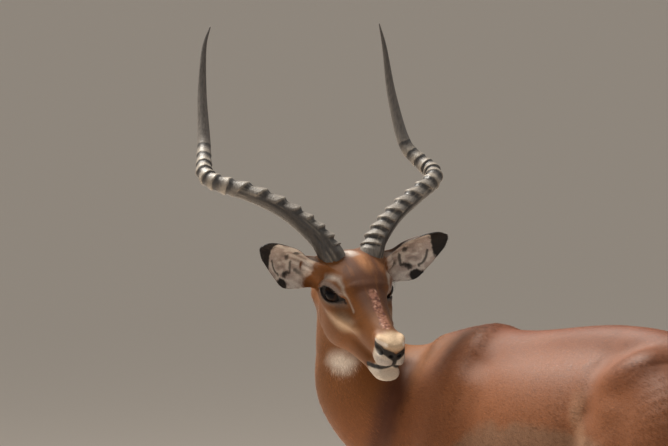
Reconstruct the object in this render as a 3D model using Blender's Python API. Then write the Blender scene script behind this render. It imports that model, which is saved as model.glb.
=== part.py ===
"""Impala ram at life size, standing still and looking back over its left shoulder.

Metres, +Z up. The animal faces -X, its left side is -Y and its hooves stand on Z = 0. The flesh is one
smooth form: limbs, muscles and bones are simple rounded solids that melt into each other, and its surface is
then parted by thin plates into trunk, neck, head, ears, tail and legs. Eyes, horns and hooves are solids of
their own. The surface is the outline of the coat. Head sizes are in centimetres in the head's own frame:
forward along the palate, left, and up, from the point midway between the eyes.
"""

import math

import bmesh
import bpy
import numpy as np
import openvdb
from mathutils import Matrix, Vector

CM = 0.01
GAP = 0.0003                      # between neighbouring solids
FAR = 1.0                         # value of the form well outside it

BODY_STEP = 0.004                 # sampling of the body's form
HEAD_STEP = 0.0024                # sampling of the head's form
BODY_FACES = 3750                 # triangles left on the body
HEAD_FACES = 2150                 # triangles left on the head and ears

HEAD_TURN = 165.0                 # degrees the head has turned to the left
HEAD_DIP = 24.3                   # degrees the muzzle points down
HEAD_LEAN = 2.5                   # degrees the crown leans to the animal's right
EYE_MIDDLE = np.array((-0.290, -0.200, 0.946))
EYE_RADIUS = 1.95                 # cm
EYE_LOOK = (0.45, 0.88, 0.12)     # forward, out, up

# lateral side, and how far each foot stands behind the pair's middle
FORE = {"left": (-1.0, -0.012), "right": (1.0, 0.035)}
HIND = {"left": (-1.0, 0.020), "right": (1.0, -0.030)}
FORE_FOOT = (-0.246, 0.070)       # x and |y| of a fore foot's middle before that step
HIND_FOOT = (0.338, 0.077)
CORONET = 0.026                   # height of the hooves' upper edge
CORONET_TILT = 19.0               # degrees it rises towards the toe

Y = (0.0, 1.0, 0.0)

COAT = ((0.42, 0.19, 0.08), 0.75)
HORN_COLOUR = ((0.10, 0.085, 0.075), 0.55)
EYE_COLOUR = ((0.012, 0.008, 0.006), 0.08)
HOOF_COLOUR = ((0.035, 0.03, 0.027), 0.5)


# ------------------------------------------------------------------ frames

def head_axes():
    """Forward, left and up of the head, in the world."""
    turn, dip, lean = (math.radians(a) for a in (HEAD_TURN, HEAD_DIP, HEAD_LEAN))
    ahead = np.array((-math.cos(turn), -math.sin(turn), 0.0))
    left = np.array((math.sin(turn), -math.cos(turn), 0.0))
    up = np.array((0.0, 0.0, 1.0))
    forward = ahead * math.cos(dip) - up * math.sin(dip)
    crown = ahead * math.sin(dip) + up * math.cos(dip)
    c, s = math.cos(lean), math.sin(lean)
    return np.array((forward, left * c + crown * s, crown * c - left * s))


HEAD = head_axes()
FORWARD, LEFT, CROWN = HEAD


def head(f, l, u):
    """A point of the head's frame in the world."""
    return EYE_MIDDLE + CM * np.array((f, l, u)) @ HEAD


def head_row(f, l, u, w, h):
    """One section of a tube on the head: its middle, half width and half height."""
    return (*head(f, l, u), w * CM, h * CM)


def unit(v):
    return v / np.linalg.norm(v)


def square(v, others):
    """v made perpendicular to the unit vectors in others."""
    for o in others:
        v = v - o * (v @ o)
    return unit(v)


# ------------------------------------------------------------------ rounded solids

def smooth_union(a, b, k):
    h = np.maximum(k - np.abs(a - b), 0.0) / k
    return np.minimum(a, b) - h * h * k * 0.25


def level(local, radii, e):
    """Distance, nearly, to the surface |x/rx|^e + |y/ry|^e + |z/rz|^e = 1."""
    q = np.abs(local) / radii
    k = np.maximum((q ** e).sum(-1), 1e-9) ** (1.0 / e)
    slope = np.sqrt(((q ** (e - 1) / radii) ** 2).sum(-1)) * k ** (1 - e)
    return (k - 1) / np.maximum(slope, 1e-3)


def spline(rows, per_span):
    """A smooth curve through the rows, with extra rows between them."""
    rows = np.asarray(rows, float)
    ends = np.vstack([2 * rows[0] - rows[1], rows, 2 * rows[-1] - rows[-2]])
    out = []
    for p0, p1, p2, p3 in zip(ends, ends[1:], ends[2:], ends[3:]):
        for t in np.arange(per_span) / per_span:
            bend = 2 * p0 - 5 * p1 + 4 * p2 - p3
            twist = 3 * p1 - p0 - 3 * p2 + p3
            out.append(0.5 * (2 * p1 + (p2 - p0) * t + bend * t ** 2 + twist * t ** 3))
    out.append(rows[-1])
    return np.array(out)


class Solid:
    """A rounded solid that joins the form over a blend k, or is cut out of it."""
    MARGIN = 0.03

    def __init__(self, low, high, k, cut):
        self.k, self.cut = k, cut
        self.low = np.asarray(low) - k - self.MARGIN
        self.high = np.asarray(high) + k + self.MARGIN


class Ellipsoid(Solid):
    def __init__(self, centre, radii, axes=None, k=0.02, cut=False):
        self.centre = np.asarray(centre, float)
        self.radii = np.asarray(radii, float)
        self.axes = np.eye(3) if axes is None else np.asarray(axes, float)
        reach = np.abs(self.axes.T) @ self.radii
        super().__init__(self.centre - reach, self.centre + reach, k, cut)

    def __call__(self, p):
        return level((p - self.centre) @ self.axes.T, self.radii, 2.0)


class Tube(Solid):
    """Rounded sections along a curve. A row is a section's middle, half width along side, and half height."""
    def __init__(self, rows, side, k=0.02, e=2.0, cap=None, per_span=5, cut=False):
        rows = np.asarray(rows, float)
        side = np.broadcast_to(np.asarray(side, float), (len(rows), 3))
        fine = spline(np.hstack([rows, side]), per_span)
        self.c, self.w, self.h, self.side = fine[:, :3], fine[:, 3], fine[:, 4], fine[:, 5:8]
        tangent = np.gradient(self.c, axis=0)
        self.tangent = tangent / np.linalg.norm(tangent, axis=1)[:, None]
        self.e = e
        self.cap = cap or (min(self.w[0], self.h[0]), min(self.w[-1], self.h[-1]))
        reach = np.maximum(self.w, self.h)[:, None]
        super().__init__((self.c - reach).min(0), (self.c + reach).max(0), k, cut)

    def between(self, rows, at):
        i = np.clip(at.astype(int), 0, len(rows) - 2)
        t = at - i
        if rows.ndim > 1:
            t = t[:, None]
        return rows[i] * (1 - t) + rows[i + 1] * t

    def nearest(self, p):
        """Place along the curve, in rows, of the section each point lies in."""
        best = np.full(len(p), np.inf)
        at = np.zeros(len(p))
        for i, (a, b) in enumerate(zip(self.c, self.c[1:])):
            d = b - a
            t = np.clip((p - a) @ d / (d @ d), 0, 1)
            off = p - a - t[:, None] * d
            far = np.einsum("ij,ij->i", off, off)
            near = far < best
            best[near] = far[near]
            at[near] = i + t[near]
        last = len(self.c) - 1
        for _ in range(2):
            i = np.clip(at.astype(int), 0, last - 1)
            span = np.linalg.norm(self.c[i + 1] - self.c[i], axis=1)
            ahead = np.einsum("ij,ij->i", p - self.between(self.c, at), self.between(self.tangent, at))
            at = np.clip(at + 0.8 * ahead / span, 0, last)
        return at

    def __call__(self, p):
        at = self.nearest(p)
        along = self.between(self.tangent, at)
        along /= np.linalg.norm(along, axis=1)[:, None]
        side = self.between(self.side, at)
        side -= np.einsum("ij,ij->i", side, along)[:, None] * along
        side /= np.linalg.norm(side, axis=1)[:, None]
        off = p - self.between(self.c, at)
        first = at <= 0
        beyond = np.einsum("ij,ij->i", off, along) * (first | (at >= len(self.c) - 1))
        across = np.einsum("ij,ij->i", off, side)
        upward = np.einsum("ij,ij->i", off, np.cross(along, side))
        radii = np.stack([self.between(self.w, at), self.between(self.h, at),
                          np.where(first, self.cap[0], self.cap[1])], 1)
        return level(np.stack([across, upward, beyond], 1), radii, self.e)


# ------------------------------------------------------------------ trunk, neck and tail

# x, top, bottom and half width of the barrel
BARREL = [(-0.335, 0.790, 0.625, 0.066), (-0.28, 0.835, 0.560, 0.088), (-0.20, 0.862, 0.517, 0.106),
          (-0.10, 0.862, 0.503, 0.128), (0.0, 0.864, 0.511, 0.139), (0.10, 0.872, 0.533, 0.136),
          (0.18, 0.874, 0.566, 0.118), (0.26, 0.866, 0.610, 0.108), (0.34, 0.842, 0.650, 0.090),
          (0.395, 0.815, 0.690, 0.064)]
# x and height of the back line, before the coat's blend
BACK = [(-0.32, 0.850), (-0.265, 0.870), (-0.21, 0.880), (-0.15, 0.881), (-0.08, 0.885), (0.03, 0.899),
        (0.12, 0.905), (0.21, 0.900), (0.29, 0.880), (0.365, 0.850), (0.415, 0.820)]
BACK_WIDTH, BACK_DEPTH = 0.032, 0.030


def trunk_parts():
    rows = [(x, 0, (top + bottom) / 2, w, (top - bottom) / 2) for x, top, bottom, w in BARREL]
    parts = [Tube(rows, Y, k=0.03, e=2.2, cap=(0.04, 0.04))]
    rows = [(x, 0, z - BACK_DEPTH, BACK_WIDTH, BACK_DEPTH) for x, z in BACK]
    parts.append(Tube(rows, Y, k=0.05))
    for s in (-1.0, 1.0):
        parts += shoulder_parts(s) + rump_parts(s)
    # sheath and scrotum
    parts.append(Tube([(0.060, 0, 0.530, 0.012, 0.012), (0.115, 0, 0.536, 0.015, 0.013),
                       (0.160, 0, 0.560, 0.012, 0.012)], Y, k=0.03))
    parts.append(Ellipsoid((0.255, 0, 0.600), (0.028, 0.030, 0.042), k=0.025))
    return parts


def shoulder_parts(s):
    blade = [(-0.175, s * 0.045, 0.845, 0.018, 0.030), (-0.225, s * 0.076, 0.775, 0.028, 0.052),
             (-0.285, s * 0.088, 0.690, 0.034, 0.048), (-0.300, s * 0.088, 0.640, 0.030, 0.038)]
    arm = [(-0.165, s * 0.078, 0.790, 0.022, 0.045), (-0.185, s * 0.101, 0.700, 0.034, 0.062),
           (-0.188, s * 0.102, 0.620, 0.032, 0.058), (-0.196, s * 0.094, 0.560, 0.028, 0.044),
           (-0.203, s * 0.087, 0.500, 0.024, 0.031)]
    breast = Ellipsoid((-0.318, s * 0.036, 0.640), (0.042, 0.042, 0.065), k=0.03)
    return [Tube(blade, Y, k=0.035), Tube(arm, Y, k=0.035), breast]


def rump_parts(s):
    tilt = np.array(Matrix.Rotation(math.radians(-25), 3, "Y")).T
    hip = Ellipsoid((0.222, s * 0.079, 0.832), (0.052, 0.026, 0.024), tilt, k=0.055)
    thigh = [(0.240, s * 0.056, 0.815, 0.045, 0.050), (0.285, s * 0.078, 0.755, 0.055, 0.090),
             (0.295, s * 0.092, 0.690, 0.050, 0.102), (0.280, s * 0.098, 0.625, 0.044, 0.085),
             (0.285, s * 0.096, 0.560, 0.034, 0.060), (0.315, s * 0.092, 0.500, 0.026, 0.041)]
    front = [(0.215, s * 0.098, 0.765, 0.022, 0.035), (0.200, s * 0.112, 0.690, 0.028, 0.045),
             (0.202, s * 0.110, 0.620, 0.030, 0.044)]
    hamstring = [(0.375, s * 0.036, 0.800, 0.032, 0.035), (0.385, s * 0.060, 0.730, 0.040, 0.045),
                 (0.365, s * 0.080, 0.650, 0.035, 0.042), (0.350, s * 0.088, 0.570, 0.024, 0.034)]
    flank_fold = [(0.170, s * 0.090, 0.740, 0.012, 0.020), (0.160, s * 0.103, 0.670, 0.010, 0.024),
                  (0.172, s * 0.106, 0.610, 0.014, 0.026)]
    return [hip] + [Tube(rows, Y, k=0.035) for rows in (thigh, front, hamstring, flank_fold)]


# section middle, half width, half height, and the degrees the neck has turned to the left there
NECK = [(-0.200, 0.000, 0.735, 0.080, 0.150, 0), (-0.285, -0.008, 0.735, 0.080, 0.138, 8),
        (-0.360, -0.046, 0.748, 0.076, 0.114, 40), (-0.402, -0.095, 0.798, 0.066, 0.091, 80),
        (-0.397, -0.128, 0.862, 0.057, 0.074, 115), (-0.379, -0.152, 0.912, 0.052, 0.065, 145)]


def neck_parts():
    rows = [row[:5] for row in NECK] + [head_row(-7.5, 0, -3.4, 4.65, 5.6)]
    turns = np.radians([row[5] for row in NECK] + [HEAD_TURN])
    side = np.stack([np.sin(turns), -np.cos(turns), 0 * turns], 1)
    return [Tube(rows, side, k=0.04, e=2.1, cap=(0.02, 0.02), per_span=8)]


def tail_parts():
    rows = [(0.395, 0, 0.826, 0.020, 0.018), (0.449, 0, 0.817, 0.018, 0.016), (0.483, 0, 0.775, 0.016, 0.015),
            (0.494, 0, 0.710, 0.019, 0.017), (0.496, 0, 0.640, 0.023, 0.020), (0.494, 0, 0.580, 0.019, 0.017),
            (0.492, 0, 0.545, 0.010, 0.009)]
    return [Tube(rows, Y, k=0.015)]


# ------------------------------------------------------------------ legs

# x from the shoulder line, share of the foot's step, |y|, z, half width and half length
FORELEG = [(-0.195, 0.0, 0.091, 0.640, 0.026, 0.048), (-0.200, 0.1, 0.088, 0.550, 0.027, 0.042),
           (-0.208, 0.3, 0.081, 0.465, 0.0225, 0.029), (-0.214, 0.6, 0.076, 0.375, 0.0175, 0.0195),
           (-0.218, 0.75, 0.074, 0.318, 0.0190, 0.0205), (-0.218, 0.78, 0.073, 0.288, 0.0180, 0.0195),
           (-0.216, 0.85, 0.072, 0.245, 0.0135, 0.0145), (-0.216, 0.9, 0.071, 0.180, 0.0120, 0.0132),
           (-0.216, 0.97, 0.070, 0.120, 0.0135, 0.0150), (-0.219, 1.0, 0.070, 0.096, 0.0165, 0.0180),
           (-0.229, 1.0, 0.070, 0.072, 0.0150, 0.0155), (-0.239, 1.0, 0.070, 0.048, 0.0185, 0.0190),
           (-0.246, 1.0, 0.070, 0.030, 0.0195, 0.0205), (-0.250, 1.0, 0.070, 0.012, 0.0195, 0.0205)]
HINDLEG = [(0.250, 0.0, 0.098, 0.640, 0.032, 0.066), (0.287, 0.0, 0.096, 0.550, 0.030, 0.056),
           (0.337, 0.2, 0.090, 0.475, 0.0225, 0.036), (0.378, 0.5, 0.085, 0.415, 0.0185, 0.026),
           (0.392, 0.6, 0.083, 0.375, 0.0190, 0.0245), (0.390, 0.7, 0.082, 0.335, 0.0150, 0.0185),
           (0.384, 0.8, 0.080, 0.260, 0.0122, 0.0145), (0.376, 0.9, 0.078, 0.170, 0.0120, 0.0135),
           (0.372, 0.97, 0.077, 0.120, 0.0140, 0.0150), (0.368, 1.0, 0.077, 0.098, 0.0165, 0.0180),
           (0.356, 1.0, 0.077, 0.074, 0.0150, 0.0160), (0.345, 1.0, 0.077, 0.050, 0.0185, 0.0190),
           (0.338, 1.0, 0.077, 0.030, 0.0195, 0.0205), (0.334, 1.0, 0.077, 0.012, 0.0195, 0.0205)]
# the heel bone and the web of skin up its tendon
HEEL = [(0.350, 0.0, 0.090, 0.560, 0.012, 0.022), (0.385, 0.3, 0.087, 0.485, 0.0075, 0.016),
        (0.412, 0.5, 0.084, 0.430, 0.0085, 0.013), (0.418, 0.6, 0.083, 0.405, 0.010, 0.011),
        (0.406, 0.65, 0.083, 0.372, 0.010, 0.011)]


def leg_tube(rows, s, step, **options):
    return Tube([(x + share * step, s * y, z, w, h) for x, share, y, z, w, h in rows], Y, **options)


def leg_parts():
    parts = []
    for s, step in FORE.values():
        parts.append(leg_tube(FORELEG, s, step, k=0.02, cap=(0.006, 0.006)))
        # point of the elbow, and the pad behind the knee
        parts.append(Ellipsoid((-0.163, s * 0.091, 0.580), (0.016, 0.014, 0.026), k=0.035))
        parts.append(Ellipsoid((-0.202 + 0.75 * step, s * 0.074, 0.305), (0.009, 0.011, 0.016), k=0.012))
    for s, step in HIND.values():
        parts.append(leg_tube(HINDLEG, s, step, k=0.02, cap=(0.006, 0.006)))
        parts.append(leg_tube(HEEL, s, step, k=0.022))
    return parts


# ------------------------------------------------------------------ head

# forward, top, bottom and half width of the skull with its flesh, and of the lower jaw
SKULL = [(-8.6, 2.4, -4.7, 4.2), (-6.6, 3.7, -5.0, 4.55), (-4.6, 4.5, -5.4, 4.75), (-1.5, 4.25, -5.8, 4.7),
         (1.6, 3.0, -6.1, 4.1), (4.6, 1.6, -6.3, 3.2), (7.6, 0.35, -6.3, 2.55), (10.6, -0.50, -6.2, 2.2),
         (12.8, -1.05, -6.0, 2.2), (14.2, -1.75, -5.7, 2.0)]
JAW = [(-4.2, -4.0, -10.3, 3.3), (0.0, -4.5, -10.2, 2.9), (4.0, -5.0, -9.8, 2.3), (8.0, -5.6, -9.25, 2.0),
       (10.9, -6.0, -9.1, 2.05), (12.8, -6.0, -9.0, 2.05), (13.9, -6.0, -8.5, 1.8)]
BROW = [(-5.6, 1.9, 4.5, 2.2), (-3.6, 2.0, 5.0, 2.5), (-0.8, 1.5, 4.8, 2.3), (1.2, 0.9, 3.9, 1.9)]
# the eyebrow's rim: along the eye, above it and out from its middle
EYE_RIM = [(-2.6, 0.4, 0.90), (-1.5, 1.45, 1.20), (0.1, 1.80, 1.20), (1.6, 1.35, 0.90), (2.9, 0.4, 0.50)]
CHEEK_BONE = [(-4.5, 4.5, -1.2, 0.7, 0.8), (-1.6, 5.0, -2.1, 0.7, 0.8), (2.0, 3.9, -2.7, 0.6, 0.8),
              (5.5, 2.7, -3.0, 0.5, 0.8)]
NOSTRIL_WING = [(11.0, 1.55, -2.0, 0.5, 0.5), (12.6, 1.85, -1.75, 0.62, 0.6), (14.1, 1.25, -2.2, 0.6, 0.5)]
NOSTRIL = [(12.1, 2.60, -2.80, 0.25), (12.7, 2.45, -3.10, 0.55), (13.6, 1.95, -3.25, 0.55),
           (14.5, 1.15, -3.35, 0.36), (15.2, 0.50, -3.50, 0.18)]
# from the left corner of the mouth to its middle
MOUTH = [(9.8, 2.35, -7.45), (12.0, 2.35, -6.75), (14.0, 1.95, -6.05), (15.0, 1.05, -5.65), (15.3, 0.0, -5.5)]
MOUTH_GROOVE = 0.22
HORN_SEAT = (-5.6, 3.3, 3.2)
EYE_HALF = 2.35                   # half the length of the eye's opening


def eye_centre(s):
    return head(-0.85, s * 3.85, -0.25)


def eye_axes(s):
    """The way an eye looks, along its opening towards the nose, and across it upwards."""
    look = unit(np.array((EYE_LOOK[0], s * EYE_LOOK[1], EYE_LOOK[2])) @ HEAD)
    nose = square(np.array((0.93, 0.0, 0.08)) @ HEAD, [look])
    return np.array((look, nose, square(CROWN, [look, nose])))


def lid_edge(x, y):
    """Distance, nearly, from the almond between the lids to points on the eye's face, in cm."""
    t = np.clip((x + EYE_HALF) / (2 * EYE_HALF), 0, 1)
    upper = 1.12 * np.sin(np.pi * t ** 0.85) ** 0.75 - 0.05 - 0.18 * t
    lower = -1.05 * np.sin(np.pi * t ** 0.9) ** 0.85 - 0.05 - 0.18 * t
    return np.maximum(np.maximum(y - upper, lower - y), np.abs(x) - EYE_HALF)


class EyeOpening(Solid):
    """The opening between the lids, cut down to a floor just behind the eyeball's front."""
    FLOOR = np.array((1.75, 2.60, 1.95))

    def __init__(self, s, k=0.0015):
        self.axes = eye_axes(s)
        self.centre = eye_centre(s)
        super().__init__(self.centre - 0.03, self.centre + 0.03, k, True)

    def __call__(self, p):
        q = (p - self.centre) @ self.axes.T / CM
        out, x, y = q.T
        floor = level(q, self.FLOOR, 2.0)
        return np.maximum(np.maximum(lid_edge(x, y), -floor), 0.3 - out) * CM


def head_tube(rows, **options):
    """A tube on the head's middle plane from rows of forward, top, bottom and half width."""
    return Tube([head_row(f, 0, (t + b) / 2, w, (t - b) / 2) for f, t, b, w in rows], LEFT, **options)


def head_parts():
    parts = [head_tube(SKULL, k=0.02, e=2.15, cap=(0.026, 0.010))]
    brow = [head_row(f, 0, u, w, h) for f, u, w, h in BROW]
    parts.append(Tube(brow, LEFT, k=0.015, e=2.8, cap=(0.008, 0.008)))
    parts.append(head_tube(JAW, k=0.010, e=2.3, cap=(0.006, 0.006)))
    parts.append(Ellipsoid(head(13.7, 0, -3.1), np.array((1.5, 1.6, 1.5)) * CM, HEAD, k=0.008))
    for s in (-1.0, 1.0):
        parts += cheek_parts(s) + eye_parts(s) + nose_parts(s)
        parts.append(Ellipsoid(head(HORN_SEAT[0], s * HORN_SEAT[1], HORN_SEAT[2]),
                               np.array((2.3, 2.1, 1.5)) * CM, HEAD, k=0.012))
    line = MOUTH + [(f, -l, u) for f, l, u in MOUTH[-2::-1]]
    rows = [head_row(f, l, u, MOUTH_GROOVE, MOUTH_GROOVE) for f, l, u in line]
    parts.append(Tube(rows, CROWN, k=0.004, cut=True))
    return parts


def cheek_parts(s):
    muscle = Ellipsoid(head(-1.2, s * 3.0, -5.0), np.array((4.6, 1.7, 4.3)) * CM, HEAD, k=0.02)
    bone = Tube([head_row(f, s * l, u, w, h) for f, l, u, w, h in CHEEK_BONE], CROWN, k=0.02)
    return [muscle, bone]


def eye_parts(s):
    axes = eye_axes(s)
    look, nose, across = axes
    centre = eye_centre(s)
    lids = Ellipsoid(centre, np.array((2.12, 2.95, 2.35)) * CM, axes, k=0.008)
    rim = [(*(centre + CM * (x * nose + y * across + out * look)), 0.0040, 0.0040) for x, y, out in EYE_RIM]
    hollow = Ellipsoid(head(3.9, s * 4.3, -0.9), np.array((2.2, 0.9, 1.2)) * CM, HEAD, k=0.015, cut=True)
    return [lids, Tube(rim, LEFT, k=0.008), EyeOpening(s), hollow]


def nose_parts(s):
    lip = Ellipsoid(head(12.9, s * 1.0, -4.75), np.array((2.4, 1.35, 1.4)) * CM, HEAD, k=0.008)
    wing = Tube([head_row(f, s * l, u, w, h) for f, l, u, w, h in NOSTRIL_WING], CROWN, k=0.008)
    slit = Tube([head_row(f, s * l, u, w, w) for f, l, u, w in NOSTRIL], CROWN, k=0.003, cut=True)
    return [lip, wing, slit]


# ------------------------------------------------------------------ ears

# along the ear, half width below and above its middle line, and depth of its cup
EAR = [(-0.5, 2.4, 1.2, 1.6), (1.5, 3.2, 1.2, 2.0), (4.0, 4.2, 1.3, 2.4), (6.3, 4.7, 2.0, 2.3),
       (8.6, 3.7, 2.0, 1.7), (10.8, 2.5, 1.8, 1.0), (12.4, 1.5, 1.3, 0.5), (13.4, 0.3, 0.35, 0.2)]
EAR_BASE = (-6.3, 4.2, 0.8)
EAR_TIP = (-5.3, 16.6, 6.4)
EAR_FRONT = (0.98, -0.14, 0.13)   # the way its opening faces
EAR_THICK = 0.50
EAR_STALK = [(-5.8, 3.2, 0.6, 1.9, 1.9), (-6.2, 5.0, 1.0, 1.75, 1.8), (-6.5, 6.6, 1.7, 1.5, 1.6)]


class EarShell(Solid):
    """A leaf-shaped cup that opens forwards."""
    def __init__(self, s, k=0.012):
        self.base = head(EAR_BASE[0], s * EAR_BASE[1], EAR_BASE[2])
        tip = head(EAR_TIP[0], s * EAR_TIP[1], EAR_TIP[2])
        along = unit(tip - self.base)
        front = square(np.array((EAR_FRONT[0], s * EAR_FRONT[1], EAR_FRONT[2])) @ HEAD, [along])
        self.axes = np.array((along, square(CROWN, [along, front]), front))
        self.rows = spline(EAR, 5)
        ends = np.array((self.base, tip))
        super().__init__(ends.min(0) - 0.05, ends.max(0) + 0.05, k, False)

    def __call__(self, p):
        q = (p - self.base) @ self.axes.T / CM
        along, side, front = q.T
        at, *columns = self.rows.T
        low, high, deep = (np.interp(along, at, column) for column in columns)
        half = np.maximum(np.where(side > 0, high, low), 0.05)
        across = np.clip(np.abs(side) / half, 0, 1.3)
        slope = np.sqrt(1 + (2 * deep * across / half) ** 2)
        sheet = np.abs(front - 0.5 + deep * (1 - across ** 2)) / slope - EAR_THICK / 2
        edge = np.maximum(np.abs(side) - half, np.maximum(-0.8 - along, along - at[-1]))
        rim = edge + EAR_THICK / 2
        rounded = np.hypot(sheet + EAR_THICK / 2, rim) - EAR_THICK / 2
        corner = (rim > 0) & (sheet + EAR_THICK / 2 > 0)
        return np.where(corner, rounded, np.maximum(sheet, edge)) * CM


def ear_parts():
    parts = []
    for s in (-1.0, 1.0):
        parts.append(Tube([head_row(f, s * l, u, w, h) for f, l, u, w, h in EAR_STALK], FORWARD, k=0.012))
        parts.append(EarShell(s))
    return parts


# ------------------------------------------------------------------ surface of the form

def form(p, parts):
    """Distance, nearly, from points to the form's surface: negative inside."""
    d = np.full(len(p), FAR)
    for part in parts:
        here = ((p > part.low) & (p < part.high)).all(1)
        if not here.any():
            continue
        near = part(p[here])
        if part.cut:
            d[here] = -smooth_union(-d[here], near, part.k)
        else:
            d[here] = smooth_union(d[here], near, part.k)
    return d


def surface(parts, low, high, step, block=4):
    """Points and quads of the form's surface, sampled finely only in blocks that it passes through."""
    low = np.asarray(low, float)
    size = step * block
    count = np.ceil((np.asarray(high) - low) / size).astype(int) + 1
    cells = np.stack(np.meshgrid(*[np.arange(n) for n in count], indexing="ij"), -1).reshape(-1, 3)
    middle = form(low + (cells * block + (block - 1) / 2) * step, parts)
    near = np.abs(middle) < size * 1.5
    corners = np.stack(np.meshgrid(*[np.arange(block)] * 3, indexing="ij"), -1).reshape(-1, 3)
    grid = np.repeat(np.sign(middle)[:, None] * size, block ** 3, 1).astype(np.float32)
    fine = (cells[near][:, None] * block + corners).reshape(-1, 3) * step + low
    grid[near] = form(fine, parts).reshape(-1, block ** 3)
    grid = grid.reshape(*count, block, block, block).transpose(0, 3, 1, 4, 2, 5).reshape(count * block)
    volume = openvdb.FloatGrid(background=size)
    volume.copyFromArray(np.ascontiguousarray(grid))
    points, quads = volume.convertToQuads(0.0)
    return points * step + low, quads[:, ::-1]


# ------------------------------------------------------------------ objects

def new_object(name, points, faces):
    mesh = bpy.data.meshes.new(name)
    mesh.from_pydata([tuple(map(float, p)) for p in points], [], [tuple(map(int, f)) for f in faces])
    mesh.update()
    obj = bpy.data.objects.new(name, mesh)
    bpy.context.scene.collection.objects.link(obj)
    return obj


def settle(obj):
    """Turns an object's modifiers into its mesh."""
    graph = bpy.context.evaluated_depsgraph_get()
    mesh = bpy.data.meshes.new_from_object(obj.evaluated_get(graph))
    obj.modifiers.clear()
    obj.data = mesh


def thin_out(obj, faces):
    """Keeps about the given number of triangles."""
    obj.data.calc_loop_triangles()
    thin = obj.modifiers.new("thin", "DECIMATE")
    thin.ratio = faces / len(obj.data.loop_triangles)
    thin.use_collapse_triangulate = True
    settle(obj)


def keep_biggest(obj):
    """Drops the specks that sampling leaves beside a form."""
    points, faces = max(loose_pieces(obj), key=lambda piece: len(piece[1]))
    name = obj.name
    bpy.data.objects.remove(obj)
    return new_object(name, points, faces)


def add_box(bm, centre, normal, sizes, side=Y):
    """A box whose depth sizes[2] lies along normal."""
    z = unit(np.asarray(normal, float))
    x = square(np.asarray(side, float), [z])
    turn = Matrix(np.array((x, np.cross(z, x), z)).T.tolist()).to_4x4()
    place = Matrix.Translation(Vector(centre)) @ turn @ Matrix.Diagonal((*sizes, 1.0))
    bmesh.ops.create_cube(bm, size=1.0, matrix=place)


def cut_out(obj, cutters):
    """Subtracts a bmesh of boxes or balls, none of which touch each other, from an object."""
    mesh = bpy.data.meshes.new("cutter")
    cutters.to_mesh(mesh)
    cutters.free()
    tool = bpy.data.objects.new("cutter", mesh)
    tool.hide_render = True
    tool.display_type = "WIRE"
    bpy.context.scene.collection.objects.link(tool)
    cut = obj.modifiers.new("cut", "BOOLEAN")
    cut.operation = "DIFFERENCE"
    cut.solver = "EXACT"
    cut.object = tool
    settle(obj)
    bpy.data.objects.remove(tool)


def loose_pieces(obj):
    """The closed pieces that an object's mesh falls into, as lists of points and faces."""
    mesh = obj.data
    points = np.array([v.co[:] for v in mesh.vertices])
    faces = [tuple(p.vertices) for p in mesh.polygons]
    group = np.arange(len(points))
    edges = np.array([e.vertices[:] for e in mesh.edges])
    while True:
        low = np.minimum(group[edges[:, 0]], group[edges[:, 1]])
        before = group.copy()
        np.minimum.at(group, edges[:, 0], low)
        np.minimum.at(group, edges[:, 1], low)
        group = group[group]
        if (group == before).all():
            break
    pieces = []
    for g in np.unique(group):
        keep = np.flatnonzero(group == g)
        place = {int(v): i for i, v in enumerate(keep)}
        own = [tuple(place[v] for v in face) for face in faces if group[face[0]] == g]
        pieces.append((points[keep], own))
    return pieces


def name_pieces(obj, middles):
    """One new object for each name, from the loose piece that lies nearest the name's middle."""
    nodes = {}
    pieces = loose_pieces(obj)
    bpy.data.objects.remove(obj)
    for name, middle in middles.items():
        points, faces = min(pieces, key=lambda piece: np.linalg.norm(piece[0].mean(0) - middle))
        nodes[name] = new_object(name, points, faces)
    return nodes


def paint(obj, colour, smooth=True):
    base, roughness = colour
    material = bpy.data.materials.new(obj.name)
    material.use_nodes = True
    shader = material.node_tree.nodes["Principled BSDF"]
    shader.inputs["Base Color"].default_value = (*base, 1.0)
    shader.inputs["Roughness"].default_value = roughness
    obj.data.materials.clear()
    obj.data.materials.append(material)
    if smooth:
        obj.data.shade_smooth()


# ------------------------------------------------------------------ the plates that part the form

NECK_ROOT = ((-0.335, -0.020, 0.770), (-0.86, -0.08, 0.51), (0.26, 0.36))
HEAD_ROOT = (head(-8.0, 0.0, -8.0), np.array((0.60, -0.20, 0.77)) @ HEAD, (0.20, 0.25))
TAIL_ROOT = ((0.472, 0.0, 0.796), (0.85, 0.0, -0.53), (0.06, 0.056))
EAR_CUT = (-6.3, 6.9, 2.0)        # where each ear is parted from the head, and the size of the cut
EAR_PLATE = 0.08
FORE_CUTS = ((-0.205, 0.088, 0.493, 0.1), (-0.218, 0.074, 0.303, 0.76))   # x, |y|, z, share of the step
HIND_CUTS = ((0.300, 0.096, 0.548, 0.0), (0.392, 0.083, 0.352, 0.65))
LEG_PLATES = ((0.085, 0.21), (0.06, 0.075))      # across and along


def coronet_normal():
    tilt = math.radians(CORONET_TILT)
    return np.array((math.sin(tilt), 0.0, math.cos(tilt)))


def feet():
    """Name, side and middle of each foot."""
    for s, step in FORE.values():
        yield "fore", s, FORE_FOOT[0] + step, s * FORE_FOOT[1]
    for s, step in HIND.values():
        yield "hind", s, HIND_FOOT[0] + step, s * HIND_FOOT[1]


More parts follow.
